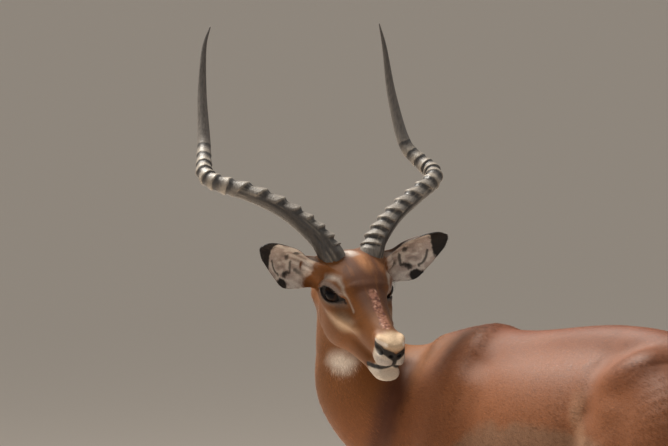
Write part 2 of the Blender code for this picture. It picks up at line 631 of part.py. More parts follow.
def part_body(body):
    """Parts the body's form into trunk, neck, tail and leg nodes; its head part is left over."""
    cutters = bmesh.new()
    for centre, normal, (width, height) in (NECK_ROOT, HEAD_ROOT, TAIL_ROOT):
        add_box(cutters, centre, normal, (width, height, GAP))
    middles = {"trunk": (0.0, 0.0, 0.69), "neck": (-0.39, -0.09, 0.80), "tail": (0.465, 0, 0.66),
               "spare_head": head(0, 0, -2)}
    for legs, cuts, name in ((FORE, FORE_CUTS, "foreleg"), (HIND, HIND_CUTS, "hindleg")):
        for side, (s, step) in legs.items():
            for (x, y, z, share), (across, along) in zip(cuts, LEG_PLATES):
                add_box(cutters, (x + share * step, s * y, z), (0, 0, 1), (across, along, GAP))
            upper, lower = cuts
            middles[f"{name}_upper_{side}"] = ((upper[0] + lower[0] + lower[3] * step) / 2, s * 0.084,
                                               (upper[2] + lower[2]) / 2)
            middles[f"{name}_lower_{side}"] = (lower[0] + step, s * 0.074, lower[2] / 2)
    depth = 0.06
    for _, _, x, y in feet():
        centre = np.array((x, y, CORONET)) - coronet_normal() * depth / 2
        add_box(cutters, centre, coronet_normal(), (0.07, 0.09, depth))
    cut_out(body, cutters)
    nodes = name_pieces(body, middles)
    bpy.data.objects.remove(nodes.pop("spare_head"))
    return nodes


def part_head(form_head):
    """Parts the head's form into head and ears, and cuts the seats of the eyes and horns."""
    plates = bmesh.new()
    centre, normal, (width, height) = HEAD_ROOT
    add_box(plates, centre, normal, (width, height, GAP))
    seats = bmesh.new()
    for s in (-1.0, 1.0):
        middle = head(EAR_CUT[0], s * EAR_CUT[1], EAR_CUT[2])
        add_box(plates, middle, LEFT, (EAR_PLATE, EAR_PLATE, GAP), side=CROWN)
        place = Matrix.Translation(Vector(eye_centre(s)))
        bmesh.ops.create_uvsphere(seats, u_segments=16, v_segments=10, radius=EYE_RADIUS * CM + SOCKET_SLACK,
                                  matrix=place)
        line = horn_line(s)[0]
        way = unit(line[1] - line[0])
        add_box(seats, line[0] + way * HORN_CLEAR / 2, way, (0.05, 0.05, HORN_CLEAR), side=LEFT)
    cut_out(form_head, seats)
    cut_out(form_head, plates)
    middles = {"head": head(3, 0, -2.5), "ear_left": head(-5.8, 11, 3), "ear_right": head(-5.8, -11, 3)}
    return name_pieces(form_head, middles)


# ------------------------------------------------------------------ eyes, horns and hooves

def eyes():
    nodes = {}
    for name, s in (("eye_left", 1.0), ("eye_right", -1.0)):
        bm = bmesh.new()
        look = Vector(eye_axes(s)[0])
        turn = look.to_track_quat("Z", "Y").to_matrix().to_4x4()
        place = Matrix.Translation(Vector(eye_centre(s))) @ turn
        bmesh.ops.create_uvsphere(bm, u_segments=14, v_segments=8, radius=EYE_RADIUS * CM, matrix=place)
        mesh = bpy.data.meshes.new(name)
        bm.to_mesh(mesh)
        bm.free()
        nodes[name] = bpy.data.objects.new(name, mesh)
        bpy.context.scene.collection.objects.link(nodes[name])
    return nodes


# forward, out, up and radius of each horn's middle line: the pair isn't quite alike
HORNS = {
    1.0: [(-5.2, 3.4, 3.8, 2.0), (-7.4, 5.1, 5.5, 1.75), (-11.0, 9.2, 7.4, 1.5), (-14.6, 14.1, 8.6, 1.42),
          (-18.2, 18.9, 9.4, 1.36), (-21.0, 20.0, 9.7, 1.34), (-23.6, 19.2, 10.0, 1.27),
          (-27.3, 17.6, 11.7, 1.05), (-32.4, 16.6, 17.8, 0.74), (-36.0, 15.8, 24.7, 0.38),
          (-37.2, 14.8, 28.5, 0.08)],
    -1.0: [(-5.2, 3.4, 4.0, 2.05), (-7.9, 5.1, 6.4, 1.85), (-11.9, 9.2, 9.1, 1.55), (-15.7, 14.0, 10.6, 1.42),
           (-19.0, 18.6, 11.05, 1.36), (-21.6, 19.7, 11.4, 1.33), (-24.6, 18.8, 12.1, 1.22),
           (-28.5, 17.5, 14.1, 1.02), (-33.4, 16.6, 19.7, 0.73), (-36.7, 15.8, 26.1, 0.38),
           (-37.7, 14.8, 29.4, 0.08)]}
RINGED_SIDE = (-0.09, -0.42, 0.90)    # forward, out and up: where the rings stand highest
FIRST_RING = 0.9                  # cm from the base
RING_GAPS = ((0, 6, 8, 10, 14), (1.3, 3.0, 2.9, 1.5, 2.2))    # a ring's number, and the gap before it
RING_HEIGHT = 0.17                # of the radius, and how deep the hollows are between
RING_HOLLOW = 0.085
RINGS_END = 0.4                   # how much lower the first and last rings are
RING_BACK = 0.2                   # height of the rings on the horn's smooth side
SMOOTH_TIP = (0.10, 0.28, 0.46, 0.64, 0.82, 1.0)
HORN_CLEAR = 0.035                # depth cleared above each horn's seat
SOCKET_SLACK = 0.0009             # around each eye
HORN_SIDES = 10


def horn_line(s):
    """Middle points, radii and length so far along a horn, closely spaced."""
    rows = spline(HORNS[s], 12)
    points = EYE_MIDDLE + CM * (rows[:, :3] * (1.0, s, 1.0)) @ HEAD
    steps = np.linalg.norm(np.diff(points, axis=0), axis=1)
    return points, rows[:, 3] * CM, np.concatenate([[0.0], np.cumsum(steps)])


def ring_places():
    """Distance of each ring from the horn's base."""
    gaps = np.interp(np.arange(1, RING_GAPS[0][-1] + 1), *RING_GAPS)
    return (FIRST_RING + np.concatenate([[0.0], np.cumsum(gaps)])) * CM


def horn_rows(length):
    """Places along the horn and the swelling of its rings there."""
    rings = ring_places()
    hollows = (rings[:-1] + rings[1:]) / 2
    rows = [(0.0, 0.0)]
    for i, ring in enumerate(rings):
        share = 1.0 - RINGS_END * abs(2 * i / len(rings) - 1)
        rows.append((ring, RING_HEIGHT * share))
        if i < len(hollows):
            rows.append((hollows[i], -RING_HOLLOW * share))
    return rows + [(rings[-1] + (length - rings[-1]) * t, 0.0) for t in SMOOTH_TIP]


def horns():
    nodes = {}
    for name, s in (("horn_left", 1.0), ("horn_right", -1.0)):
        line, radii, run = horn_line(s)
        rows = horn_rows(run[-1])
        tangent = np.gradient(line, run, axis=0)
        lift = unit(line[1] - line[0]) * GAP
        ringed = np.array((RINGED_SIDE[0], s * RINGED_SIDE[1], RINGED_SIDE[2])) @ HEAD
        points, faces = [], []
        for place, swell in rows:
            middle, along = (np.array([np.interp(place, run, column) for column in values.T])
                             for values in (line, tangent))
            radius = np.interp(place, run, radii)
            x = square(ringed, [unit(along)])
            y = np.cross(unit(along), x)
            for a in np.arange(HORN_SIDES) * 2 * math.pi / HORN_SIDES:
                ring = radius * (1 + swell * (RING_BACK + (1 - RING_BACK) * (1 + math.cos(a)) / 2))
                points.append(middle + lift + ring * (math.cos(a) * x + math.sin(a) * y))
        for row in range(len(rows) - 1):
            for i in range(HORN_SIDES):
                j = (i + 1) % HORN_SIDES
                low, high = row * HORN_SIDES, (row + 1) * HORN_SIDES
                faces.append((low + i, low + j, high + j, high + i))
        faces.append(tuple(range(HORN_SIDES))[::-1])
        faces.append(tuple(range(len(points) - HORN_SIDES, len(points))))
        nodes[name] = new_object(name, points, faces)
    return nodes


# half outline of a claw's sole from heel to toe: x and half width, in shares of its length and width
CLAW = [(0.50, 0.45), (0.38, 0.90), (0.05, 1.0), (-0.28, 0.72), (-0.45, 0.30), (-0.50, 0.0)]
CLAW_LENGTH = 0.050
CLAW_WIDTH = 0.0098               # half of it
CLAW_APART = 0.0105               # from the foot's middle to each claw's
CLAW_TOP = 0.86                   # size of its upper edge to its sole
CLAW_LEAN = 0.012                 # how far the upper edge lies behind the sole
CLAW_AHEAD = 0.004                # of the sole, from the foot's middle
CLAW_INNER = 0.85                 # width of the inner half to the outer half
CLAW_ROWS = (0.0, 0.55, 1.0)      # shares of its height


def claw(name, x, y, inward):
    outline = [(a * CLAW_LENGTH, b * CLAW_WIDTH) for a, b in CLAW]
    outline += [(a, -b * CLAW_INNER) for a, b in outline[-2::-1]]
    points, faces = [], []
    n = len(outline)
    for share in CLAW_ROWS:
        size = 1 + (CLAW_TOP - 1) * share
        for a, b in outline:
            ahead = a * size + CLAW_LEAN * share - CLAW_AHEAD
            top = CORONET - math.tan(math.radians(CORONET_TILT)) * ahead - GAP
            points.append((x + ahead, y - inward * b * size, share * top))
    for row in range(len(CLAW_ROWS) - 1):
        for i in range(n):
            j = (i + 1) % n
            faces.append((row * n + i, row * n + j, (row + 1) * n + j, (row + 1) * n + i))
    faces += [tuple(range(n))[::-1], tuple(range(len(points) - n, len(points)))]
    if inward > 0:
        faces = [face[::-1] for face in faces]
    return new_object(name, points, faces)


def hooves():
    nodes = {}
    for pair, s, x, y in feet():
        side = "left" if s < 0 else "right"
        for place, way in (("outer", 1.0), ("inner", -1.0)):
            name = f"hoof_{pair}_{side}_{place}"
            nodes[name] = claw(name, x, y + way * s * CLAW_APART, -way * s)
    return nodes


# ------------------------------------------------------------------ build

def clear_scene():
    for obj in list(bpy.data.objects):
        bpy.data.objects.remove(obj)


def centre_on_origin(nodes):
    """Moves everything so that the middle of the footprint of its bounding box is the origin."""
    corners = np.array([v.co[:] for obj in nodes for v in obj.data.vertices])
    low, high = corners.min(0), corners.max(0)
    shift = Matrix.Translation((-(low[0] + high[0]) / 2, -(low[1] + high[1]) / 2, 0.0))
    for obj in nodes:
        obj.data.transform(shift)


def build():
    clear_scene()
    flesh = trunk_parts() + neck_parts() + leg_parts() + head_parts() + tail_parts()
    body = new_object("body", *surface(flesh, (-0.52, -0.36, -0.02), (0.55, 0.19, 1.06), BODY_STEP))
    thin_out(body, BODY_FACES)
    nodes = part_body(keep_biggest(body))
    middle = head(2.5, 0, -1.0)
    reach = np.array((0.23, 0.23, 0.17))
    form_head = new_object("head_form", *surface(neck_parts() + head_parts() + ear_parts(),
                                                 middle - reach, middle + reach, HEAD_STEP))
    thin_out(form_head, HEAD_FACES)
    nodes.update(part_head(keep_biggest(form_head)))
    for node in nodes.values():
        paint(node, COAT)
    for made, colour in ((eyes(), EYE_COLOUR), (horns(), HORN_COLOUR)):
        for node in made.values():
            paint(node, colour)
        nodes.update(made)
    claws = hooves()
    for node in claws.values():
        paint(node, HOOF_COLOUR, smooth=False)
    nodes.update(claws)
    centre_on_origin(nodes.values())


if __name__ == "__main__":
    build()
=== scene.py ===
"""Looks of the life-size impala ram: one skin from nose to tail, its coat, and its eyes, horns and hooves.

The form is the CAD's own: the same rounded solids melt into one surface, which is sampled finely here, moved
in by the depth of the coat and then covered with tufts. Metres, +Z up, the animal faces -X. Head sizes are in
centimetres in the head's own frame: forward along the palate, left, and up, from between the eyes.
"""

import math

import bmesh
import bpy
import numpy as np
import openvdb
from mathutils import Matrix, Vector
from mathutils.bvhtree import BVHTree


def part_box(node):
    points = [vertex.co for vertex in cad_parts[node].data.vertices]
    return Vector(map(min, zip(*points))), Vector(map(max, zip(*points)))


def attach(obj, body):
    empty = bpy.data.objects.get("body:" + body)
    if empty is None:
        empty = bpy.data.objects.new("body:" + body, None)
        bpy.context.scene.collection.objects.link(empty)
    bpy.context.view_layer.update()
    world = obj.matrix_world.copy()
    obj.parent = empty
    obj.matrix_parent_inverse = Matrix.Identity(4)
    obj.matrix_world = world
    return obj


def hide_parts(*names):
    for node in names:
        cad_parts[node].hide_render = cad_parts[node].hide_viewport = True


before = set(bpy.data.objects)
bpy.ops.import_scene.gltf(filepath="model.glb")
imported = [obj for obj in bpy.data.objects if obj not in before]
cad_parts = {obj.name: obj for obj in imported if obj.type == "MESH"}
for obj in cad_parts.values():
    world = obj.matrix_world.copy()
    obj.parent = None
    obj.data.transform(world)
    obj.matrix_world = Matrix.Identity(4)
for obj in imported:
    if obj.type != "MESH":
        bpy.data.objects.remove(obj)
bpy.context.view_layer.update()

CM = 0.01
FAR = 1.0                         # value of the form well outside it

HEAD_TURN = 165.0                 # degrees the head has turned to the left
HEAD_DIP = 24.3                   # degrees the muzzle points down
HEAD_LEAN = 2.5                   # degrees the crown leans to the animal's right
EYE_MIDDLE = np.array((-0.290, -0.200, 0.946))
EYE_RADIUS = 1.95                 # cm
EYE_LOOK = (0.45, 0.88, 0.12)     # forward, out, up

SIDES = (-1.0, 1.0)               # of the middle plane
# the side of each foot, the animal's left first, and how far it stands behind the pair's middle
FORE = ((-1.0, -0.012), (1.0, 0.035))
HIND = ((-1.0, 0.020), (1.0, -0.030))

Y = (0.0, 1.0, 0.0)

BODY_STEP = 0.004                 # sampling of the body
HEAD_STEP = 0.0017                # sampling of the head


# -------------------- frames

def head_axes():
    """Forward, left and up of the head, in the world."""
    turn, dip, lean = (math.radians(a) for a in (HEAD_TURN, HEAD_DIP, HEAD_LEAN))
    ahead = np.array((-math.cos(turn), -math.sin(turn), 0.0))
    left = np.array((math.sin(turn), -math.cos(turn), 0.0))
    up = np.array((0.0, 0.0, 1.0))
    forward = ahead * math.cos(dip) - up * math.sin(dip)
    crown = ahead * math.sin(dip) + up * math.cos(dip)
    c, s = math.cos(lean), math.sin(lean)
    return np.array((forward, left * c + crown * s, crown * c - left * s))


HEAD = head_axes()
FORWARD, LEFT, CROWN = HEAD


def head(f, l, u):
    """A point of the head's frame in the world."""
    return EYE_MIDDLE + CM * np.array((f, l, u)) @ HEAD


def head_row(f, l, u, w, h):
    """One section of a tube on the head: its middle, half width and half height."""
    return (*head(f, l, u), w * CM, h * CM)


def flipped(v, s):
    """Places or directions of the head's frame, moved to its side s."""
    return np.asarray(v) * (1.0, s, 1.0)


def one_side(q, s):
    """Points with their sideways places all on the side s."""
    return np.stack([q[:, 0], s * np.abs(q[:, 1]), q[:, 2]], 1)


def unit(v):
    return v / np.linalg.norm(v)


def unit_rows(v):
    return v / np.maximum(np.linalg.norm(v, axis=1), 1e-9)[:, None]


def dot(a, b):
    """Products of two lists of vectors, row by row."""
    return np.einsum("ij,ij->i", a, b)


def off_axis(v, n):
    """Vectors without their part along the unit vectors n, row by row."""
    return v - n * dot(v, n)[:, None]


def square(v, others):
    """v made perpendicular to the unit vectors in others."""
    for o in others:
        v = v - o * (v @ o)
    return unit(v)


# -------------------- rounded solids

def smooth_union(a, b, k):
    h = np.maximum(k - np.abs(a - b), 0.0) / k
    return np.minimum(a, b) - h * h * k * 0.25


def level(local, radii, e):
    """Distance, nearly, to the surface |x/rx|^e + |y/ry|^e + |z/rz|^e = 1."""
    q = np.abs(local) / radii
    k = np.maximum((q ** e).sum(-1), 1e-9) ** (1.0 / e)
    slope = np.sqrt(((q ** (e - 1) / radii) ** 2).sum(-1)) * k ** (1 - e)
    return (k - 1) / np.maximum(slope, 1e-3)


def spline(rows, per_span):
    """A smooth curve through the rows, with extra rows between them."""
    rows = np.asarray(rows, float)
    ends = np.vstack([2 * rows[0] - rows[1], rows, 2 * rows[-1] - rows[-2]])
    out = []
    for p0, p1, p2, p3 in zip(ends, ends[1:], ends[2:], ends[3:]):
        for t in np.arange(per_span) / per_span:
            bend = 2 * p0 - 5 * p1 + 4 * p2 - p3
            twist = 3 * p1 - p0 - 3 * p2 + p3
            out.append(0.5 * (2 * p1 + (p2 - p0) * t + bend * t ** 2 + twist * t ** 3))
    out.append(rows[-1])
    return np.array(out)


class Solid:
    """A rounded solid that joins the form over a blend k, or is cut out of it."""
    MARGIN = 0.03

    def __init__(self, low, high, k, cut):
        self.k, self.cut = k, cut
        self.low = np.asarray(low) - k - self.MARGIN
        self.high = np.asarray(high) + k + self.MARGIN


class Ellipsoid(Solid):
    def __init__(self, centre, radii, axes=None, k=0.02, cut=False):
        self.centre = np.asarray(centre, float)
        self.radii = np.asarray(radii, float)
        self.axes = np.eye(3) if axes is None else np.asarray(axes, float)
        reach = np.abs(self.axes.T) @ self.radii
        super().__init__(self.centre - reach, self.centre + reach, k, cut)

    def __call__(self, p):
        return level((p - self.centre) @ self.axes.T, self.radii, 2.0)


class Tube(Solid):
    """Rounded sections along a curve. A row is a section's middle, half width along side, and half height."""
    def __init__(self, rows, side, k=0.02, e=2.0, cap=None, per_span=5, cut=False):
        rows = np.asarray(rows, float)
        side = np.broadcast_to(np.asarray(side, float), (len(rows), 3))
        fine = spline(np.hstack([rows, side]), per_span)
        self.c, self.w, self.h, self.side = fine[:, :3], fine[:, 3], fine[:, 4], fine[:, 5:8]
        self.tangent = unit_rows(np.gradient(self.c, axis=0))
        self.e = e
        self.cap = cap or (min(self.w[0], self.h[0]), min(self.w[-1], self.h[-1]))
        reach = np.maximum(self.w, self.h)[:, None]
        super().__init__((self.c - reach).min(0), (self.c + reach).max(0), k, cut)

    def between(self, rows, at):
        i = np.clip(at.astype(int), 0, len(rows) - 2)
        t = at - i
        if rows.ndim > 1:
            t = t[:, None]
        return rows[i] * (1 - t) + rows[i + 1] * t

    def nearest(self, p):
        """Place along the curve, in rows, of the section each point lies in."""
        best = np.full(len(p), np.inf)
        at = np.zeros(len(p))
        for i, (a, b) in enumerate(zip(self.c, self.c[1:])):
            d = b - a
            t = np.clip((p - a) @ d / (d @ d), 0, 1)
            off = p - a - t[:, None] * d
            far = dot(off, off)
            near = far < best
            best[near] = far[near]
            at[near] = i + t[near]
        last = len(self.c) - 1
        for _ in range(2):
            i = np.clip(at.astype(int), 0, last - 1)
            span = np.linalg.norm(self.c[i + 1] - self.c[i], axis=1)
            ahead = dot(p - self.between(self.c, at), self.between(self.tangent, at))
            at = np.clip(at + 0.8 * ahead / span, 0, last)
        return at

    def __call__(self, p):
        at = self.nearest(p)
        along = unit_rows(self.between(self.tangent, at))
        side = unit_rows(off_axis(self.between(self.side, at), along))
        off = p - self.between(self.c, at)
        first = at <= 0
        beyond = dot(off, along) * (first | (at >= len(self.c) - 1))
        across = dot(off, side)
        upward = dot(off, np.cross(along, side))
        radii = np.stack([self.between(self.w, at), self.between(self.h, at),
                          np.where(first, self.cap[0], self.cap[1])], 1)
        return level(np.stack([across, upward, beyond], 1), radii, self.e)


# -------------------- trunk, neck and tail

# x, top, bottom and half width of the barrel
BARREL = [(-0.335, 0.790, 0.625, 0.066), (-0.28, 0.835, 0.560, 0.088), (-0.20, 0.862, 0.517, 0.106),
          (-0.10, 0.862, 0.503, 0.128), (0.0, 0.864, 0.511, 0.139), (0.10, 0.872, 0.533, 0.136),
          (0.18, 0.874, 0.566, 0.118), (0.26, 0.866, 0.610, 0.108), (0.34, 0.842, 0.650, 0.090),
          (0.395, 0.815, 0.690, 0.064)]
# x and height of the back's ridge, before it melts into the barrel
BACK = [(-0.32, 0.850), (-0.265, 0.870), (-0.21, 0.880), (-0.15, 0.881), (-0.08, 0.885), (0.03, 0.899),
        (0.12, 0.905), (0.21, 0.900), (0.29, 0.880), (0.365, 0.850), (0.415, 0.820)]
BACK_WIDTH, BACK_DEPTH = 0.032, 0.030


def trunk_parts():
    rows = [(x, 0, (top + bottom) / 2, w, (top - bottom) / 2) for x, top, bottom, w in BARREL]
    parts = [Tube(rows, Y, k=0.03, e=2.2, cap=(0.04, 0.04))]
    rows = [(x, 0, z - BACK_DEPTH, BACK_WIDTH, BACK_DEPTH) for x, z in BACK]
    parts.append(Tube(rows, Y, k=0.05))
    for s in SIDES:
        parts += shoulder_parts(s) + rump_parts(s)
    # sheath and scrotum
    parts.append(Tube([(0.060, 0, 0.530, 0.012, 0.012), (0.115, 0, 0.536, 0.015, 0.013),
                       (0.160, 0, 0.560, 0.012, 0.012)], Y, k=0.03))
    parts.append(Ellipsoid((0.255, 0, 0.600), (0.028, 0.030, 0.042), k=0.025))
    return parts


def shoulder_parts(s):
    blade = [(-0.175, s * 0.045, 0.845, 0.018, 0.030), (-0.225, s * 0.076, 0.775, 0.028, 0.052),
             (-0.285, s * 0.088, 0.690, 0.034, 0.048), (-0.300, s * 0.088, 0.640, 0.030, 0.038)]
    arm = [(-0.165, s * 0.078, 0.790, 0.022, 0.045), (-0.185, s * 0.101, 0.700, 0.034, 0.062),
           (-0.188, s * 0.102, 0.620, 0.032, 0.058), (-0.196, s * 0.094, 0.560, 0.028, 0.044),
           (-0.203, s * 0.087, 0.500, 0.024, 0.031)]
    breast = Ellipsoid((-0.318, s * 0.036, 0.640), (0.042, 0.042, 0.065), k=0.03)
    return [Tube(blade, Y, k=0.035), Tube(arm, Y, k=0.035), breast]


def rump_parts(s):
    tilt = np.array(Matrix.Rotation(math.radians(-25), 3, "Y")).T
    hip = Ellipsoid((0.222, s * 0.079, 0.832), (0.052, 0.026, 0.024), tilt, k=0.055)
    thigh = [(0.240, s * 0.056, 0.815, 0.045, 0.050), (0.285, s * 0.078, 0.755, 0.055, 0.090),
             (0.295, s * 0.092, 0.690, 0.050, 0.102), (0.280, s * 0.098, 0.625, 0.044, 0.085),
             (0.285, s * 0.096, 0.560, 0.034, 0.060), (0.315, s * 0.092, 0.500, 0.026, 0.041)]
    front = [(0.215, s * 0.098, 0.765, 0.022, 0.035), (0.200, s * 0.112, 0.690, 0.028, 0.045),
             (0.202, s * 0.110, 0.620, 0.030, 0.044)]
    hamstring = [(0.375, s * 0.036, 0.800, 0.032, 0.035), (0.385, s * 0.060, 0.730, 0.040, 0.045),
                 (0.365, s * 0.080, 0.650, 0.035, 0.042), (0.350, s * 0.088, 0.570, 0.024, 0.034)]
    flank_fold = [(0.170, s * 0.090, 0.740, 0.012, 0.020), (0.160, s * 0.103, 0.670, 0.010, 0.024),
                  (0.172, s * 0.106, 0.610, 0.014, 0.026)]
    return [hip] + [Tube(rows, Y, k=0.035) for rows in (thigh, front, hamstring, flank_fold)]


# section middle, half width, half height, and the degrees the neck has turned to the left there
NECK = [(-0.200, 0.000, 0.735, 0.080, 0.150, 0), (-0.285, -0.008, 0.735, 0.080, 0.138, 8),
        (-0.360, -0.046, 0.748, 0.076, 0.114, 40), (-0.402, -0.095, 0.798, 0.066, 0.091, 80),
        (-0.397, -0.128, 0.862, 0.057, 0.074, 115), (-0.379, -0.152, 0.912, 0.052, 0.065, 145)]


def neck_parts():
    rows = [row[:5] for row in NECK] + [head_row(-7.5, 0, -3.4, 4.65, 5.6)]
    turns = np.radians([row[5] for row in NECK] + [HEAD_TURN])
    side = np.stack([np.sin(turns), -np.cos(turns), 0 * turns], 1)
    return [Tube(rows, side, k=0.04, e=2.1, cap=(0.02, 0.02), per_span=8)]


def tail_parts():
    rows = [(0.395, 0, 0.826, 0.020, 0.018), (0.449, 0, 0.817, 0.018, 0.016), (0.483, 0, 0.775, 0.016, 0.015),
            (0.494, 0, 0.710, 0.019, 0.017), (0.496, 0, 0.640, 0.023, 0.020), (0.494, 0, 0.580, 0.019, 0.017),
            (0.492, 0, 0.545, 0.010, 0.009)]
    return [Tube(rows, Y, k=0.015)]


# -------------------- legs

# x from the shoulder line, share of the foot's step, |y|, z, half width and half length
FORELEG = [(-0.195, 0.0, 0.091, 0.640, 0.026, 0.048), (-0.200, 0.1, 0.088, 0.550, 0.027, 0.042),
           (-0.208, 0.3, 0.081, 0.465, 0.0225, 0.029), (-0.214, 0.6, 0.076, 0.375, 0.0175, 0.0195),
           (-0.218, 0.75, 0.074, 0.318, 0.0190, 0.0205), (-0.218, 0.78, 0.073, 0.288, 0.0180, 0.0195),
           (-0.216, 0.85, 0.072, 0.245, 0.0135, 0.0145), (-0.216, 0.9, 0.071, 0.180, 0.0120, 0.0132),
           (-0.216, 0.97, 0.070, 0.120, 0.0135, 0.0150), (-0.219, 1.0, 0.070, 0.096, 0.0165, 0.0180),
           (-0.229, 1.0, 0.070, 0.072, 0.0150, 0.0155), (-0.239, 1.0, 0.070, 0.048, 0.0185, 0.0190),
           (-0.246, 1.0, 0.070, 0.030, 0.0195, 0.0205), (-0.250, 1.0, 0.070, 0.012, 0.0195, 0.0205)]
HINDLEG = [(0.250, 0.0, 0.098, 0.640, 0.032, 0.066), (0.287, 0.0, 0.096, 0.550, 0.030, 0.056),
           (0.337, 0.2, 0.090, 0.475, 0.0225, 0.036), (0.378, 0.5, 0.085, 0.415, 0.0185, 0.026),
           (0.392, 0.6, 0.083, 0.375, 0.0190, 0.0245), (0.390, 0.7, 0.082, 0.335, 0.0150, 0.0185),
           (0.384, 0.8, 0.080, 0.260, 0.0122, 0.0145), (0.376, 0.9, 0.078, 0.170, 0.0120, 0.0135),
           (0.372, 0.97, 0.077, 0.120, 0.0140, 0.0150), (0.368, 1.0, 0.077, 0.098, 0.0165, 0.0180),
           (0.356, 1.0, 0.077, 0.074, 0.0150, 0.0160), (0.345, 1.0, 0.077, 0.050, 0.0185, 0.0190),
           (0.338, 1.0, 0.077, 0.030, 0.0195, 0.0205), (0.334, 1.0, 0.077, 0.012, 0.0195, 0.0205)]
# the heel bone and the web of skin up its tendon
HEEL = [(0.350, 0.0, 0.090, 0.560, 0.012, 0.022), (0.385, 0.3, 0.087, 0.485, 0.0075, 0.016),
        (0.412, 0.5, 0.084, 0.430, 0.0085, 0.013), (0.418, 0.6, 0.083, 0.405, 0.010, 0.011),
        (0.406, 0.65, 0.083, 0.372, 0.010, 0.011)]


def leg_tube(rows, s, step, **options):
    return Tube([(x + share * step, s * y, z, w, h) for x, share, y, z, w, h in rows], Y, **options)


def leg_parts():
    parts = []
    for s, step in FORE:
        parts.append(leg_tube(FORELEG, s, step, k=0.02, cap=(0.006, 0.006)))
        # point of the elbow, and the pad behind the knee
        parts.append(Ellipsoid((-0.163, s * 0.091, 0.580), (0.016, 0.014, 0.026), k=0.035))
        parts.append(Ellipsoid((-0.202 + 0.75 * step, s * 0.074, 0.305), (0.009, 0.011, 0.016), k=0.012))
    for s, step in HIND:
        parts.append(leg_tube(HINDLEG, s, step, k=0.02, cap=(0.006, 0.006)))
        parts.append(leg_tube(HEEL, s, step, k=0.022))
    return parts


# -------------------- head

# forward, top, bottom and half width of the skull with its flesh, and of the lower jaw
SKULL = [(-8.6, 2.4, -4.7, 4.2), (-6.6, 3.7, -5.0, 4.55), (-4.6, 4.5, -5.4, 4.75), (-1.5, 4.25, -5.8, 4.7),
         (1.6, 3.0, -6.1, 4.1), (4.6, 1.6, -6.3, 3.2), (7.6, 0.35, -6.3, 2.55), (10.6, -0.50, -6.2, 2.2),
         (12.8, -1.05, -6.0, 2.2), (14.2, -1.75, -5.7, 2.0)]
JAW = [(-4.2, -4.0, -10.3, 3.3), (0.0, -4.5, -10.2, 2.9), (4.0, -5.0, -9.8, 2.3), (8.0, -5.6, -9.25, 2.0),
       (10.9, -6.0, -9.1, 2.05), (12.8, -6.0, -9.0, 2.05), (13.9, -6.0, -8.5, 1.8)]
BROW = [(-5.6, 1.9, 4.5, 2.2), (-3.6, 2.0, 5.0, 2.5), (-0.8, 1.5, 4.8, 2.3), (1.2, 0.9, 3.9, 1.9)]
# the eyebrow's rim: along the eye, above it and out from its middle
EYE_RIM = [(-2.6, 0.4, 0.90), (-1.5, 1.45, 1.20), (0.1, 1.80, 1.20), (1.6, 1.35, 0.90), (2.9, 0.4, 0.50)]
# forward, out, up, half width and half height of what runs along each side
CHEEK_BONE = [(-4.5, 4.5, -1.2, 0.7, 0.8), (-1.6, 5.0, -2.1, 0.7, 0.8), (2.0, 3.9, -2.7, 0.6, 0.8),
              (5.5, 2.7, -3.0, 0.5, 0.8)]
NOSTRIL_WING = [(11.0, 1.55, -2.0, 0.5, 0.5), (12.6, 1.85, -1.75, 0.62, 0.6), (14.1, 1.25, -2.2, 0.6, 0.5)]
# forward, out, up and radius of a nostril's slit
NOSTRIL = [(12.1, 2.60, -2.80, 0.25), (12.7, 2.45, -3.10, 0.55), (13.6, 1.95, -3.25, 0.55),
           (14.5, 1.15, -3.35, 0.36), (15.2, 0.50, -3.50, 0.18)]
NOSTRIL_LINE = [row[:3] for row in NOSTRIL]
# from the left corner of the mouth to its middle
MOUTH = [(9.8, 2.35, -7.45), (12.0, 2.35, -6.75), (14.0, 1.95, -6.05), (15.0, 1.05, -5.65), (15.3, 0.0, -5.5)]
MOUTH_GROOVE = 0.22
HORN_SEAT = (-5.6, 3.3, 3.2)
EYE_HALF = 2.35                   # half the length of the eye's opening


def eye_centre(s):
    return head(-0.85, s * 3.85, -0.25)


def eye_axes(s):
    """The way an eye looks, along its opening towards the nose, and across it upwards."""
    look = unit(flipped(EYE_LOOK, s) @ HEAD)
    nose = square(np.array((0.93, 0.0, 0.08)) @ HEAD, [look])
    return np.array((look, nose, square(CROWN, [look, nose])))


def lid_edge(x, y):
    """Distance, nearly, from the almond between the lids to points on the eye's face, in cm."""
    t = np.clip((x + EYE_HALF) / (2 * EYE_HALF), 0, 1)
    upper = 1.12 * np.sin(np.pi * t ** 0.85) ** 0.75 - 0.05 - 0.18 * t
    lower = -1.05 * np.sin(np.pi * t ** 0.9) ** 0.85 - 0.05 - 0.18 * t
    return np.maximum(np.maximum(y - upper, lower - y), np.abs(x) - EYE_HALF)


class EyeOpening(Solid):
    """The opening between the lids, cut down to a floor just behind the eyeball's front."""
    FLOOR = np.array((1.75, 2.60, 1.95))

    def __init__(self, s, k=0.0015):
        self.axes = eye_axes(s)
        self.centre = eye_centre(s)
        super().__init__(self.centre - 0.03, self.centre + 0.03, k, True)

    def __call__(self, p):
        q = (p - self.centre) @ self.axes.T / CM
        out, x, y = q.T
        floor = level(q, self.FLOOR, 2.0)
        return np.maximum(np.maximum(lid_edge(x, y), -floor), 0.3 - out) * CM


def head_tube(rows, **options):
    """A tube on the head's middle plane from rows of forward, top, bottom and half width."""
    return Tube([head_row(f, 0, (t + b) / 2, w, (t - b) / 2) for f, t, b, w in rows], LEFT, **options)


def head_ball(at, radii, **options):
    """An ellipsoid on the head's own axes."""
    return Ellipsoid(head(*at), np.array(radii) * CM, HEAD, **options)


def side_tube(rows, s, side, **options):
    """A tube on one side of the head from rows of forward, out, up, half width and half height."""
    return Tube([head_row(f, s * l, u, w, h) for f, l, u, w, h in rows], side, **options)


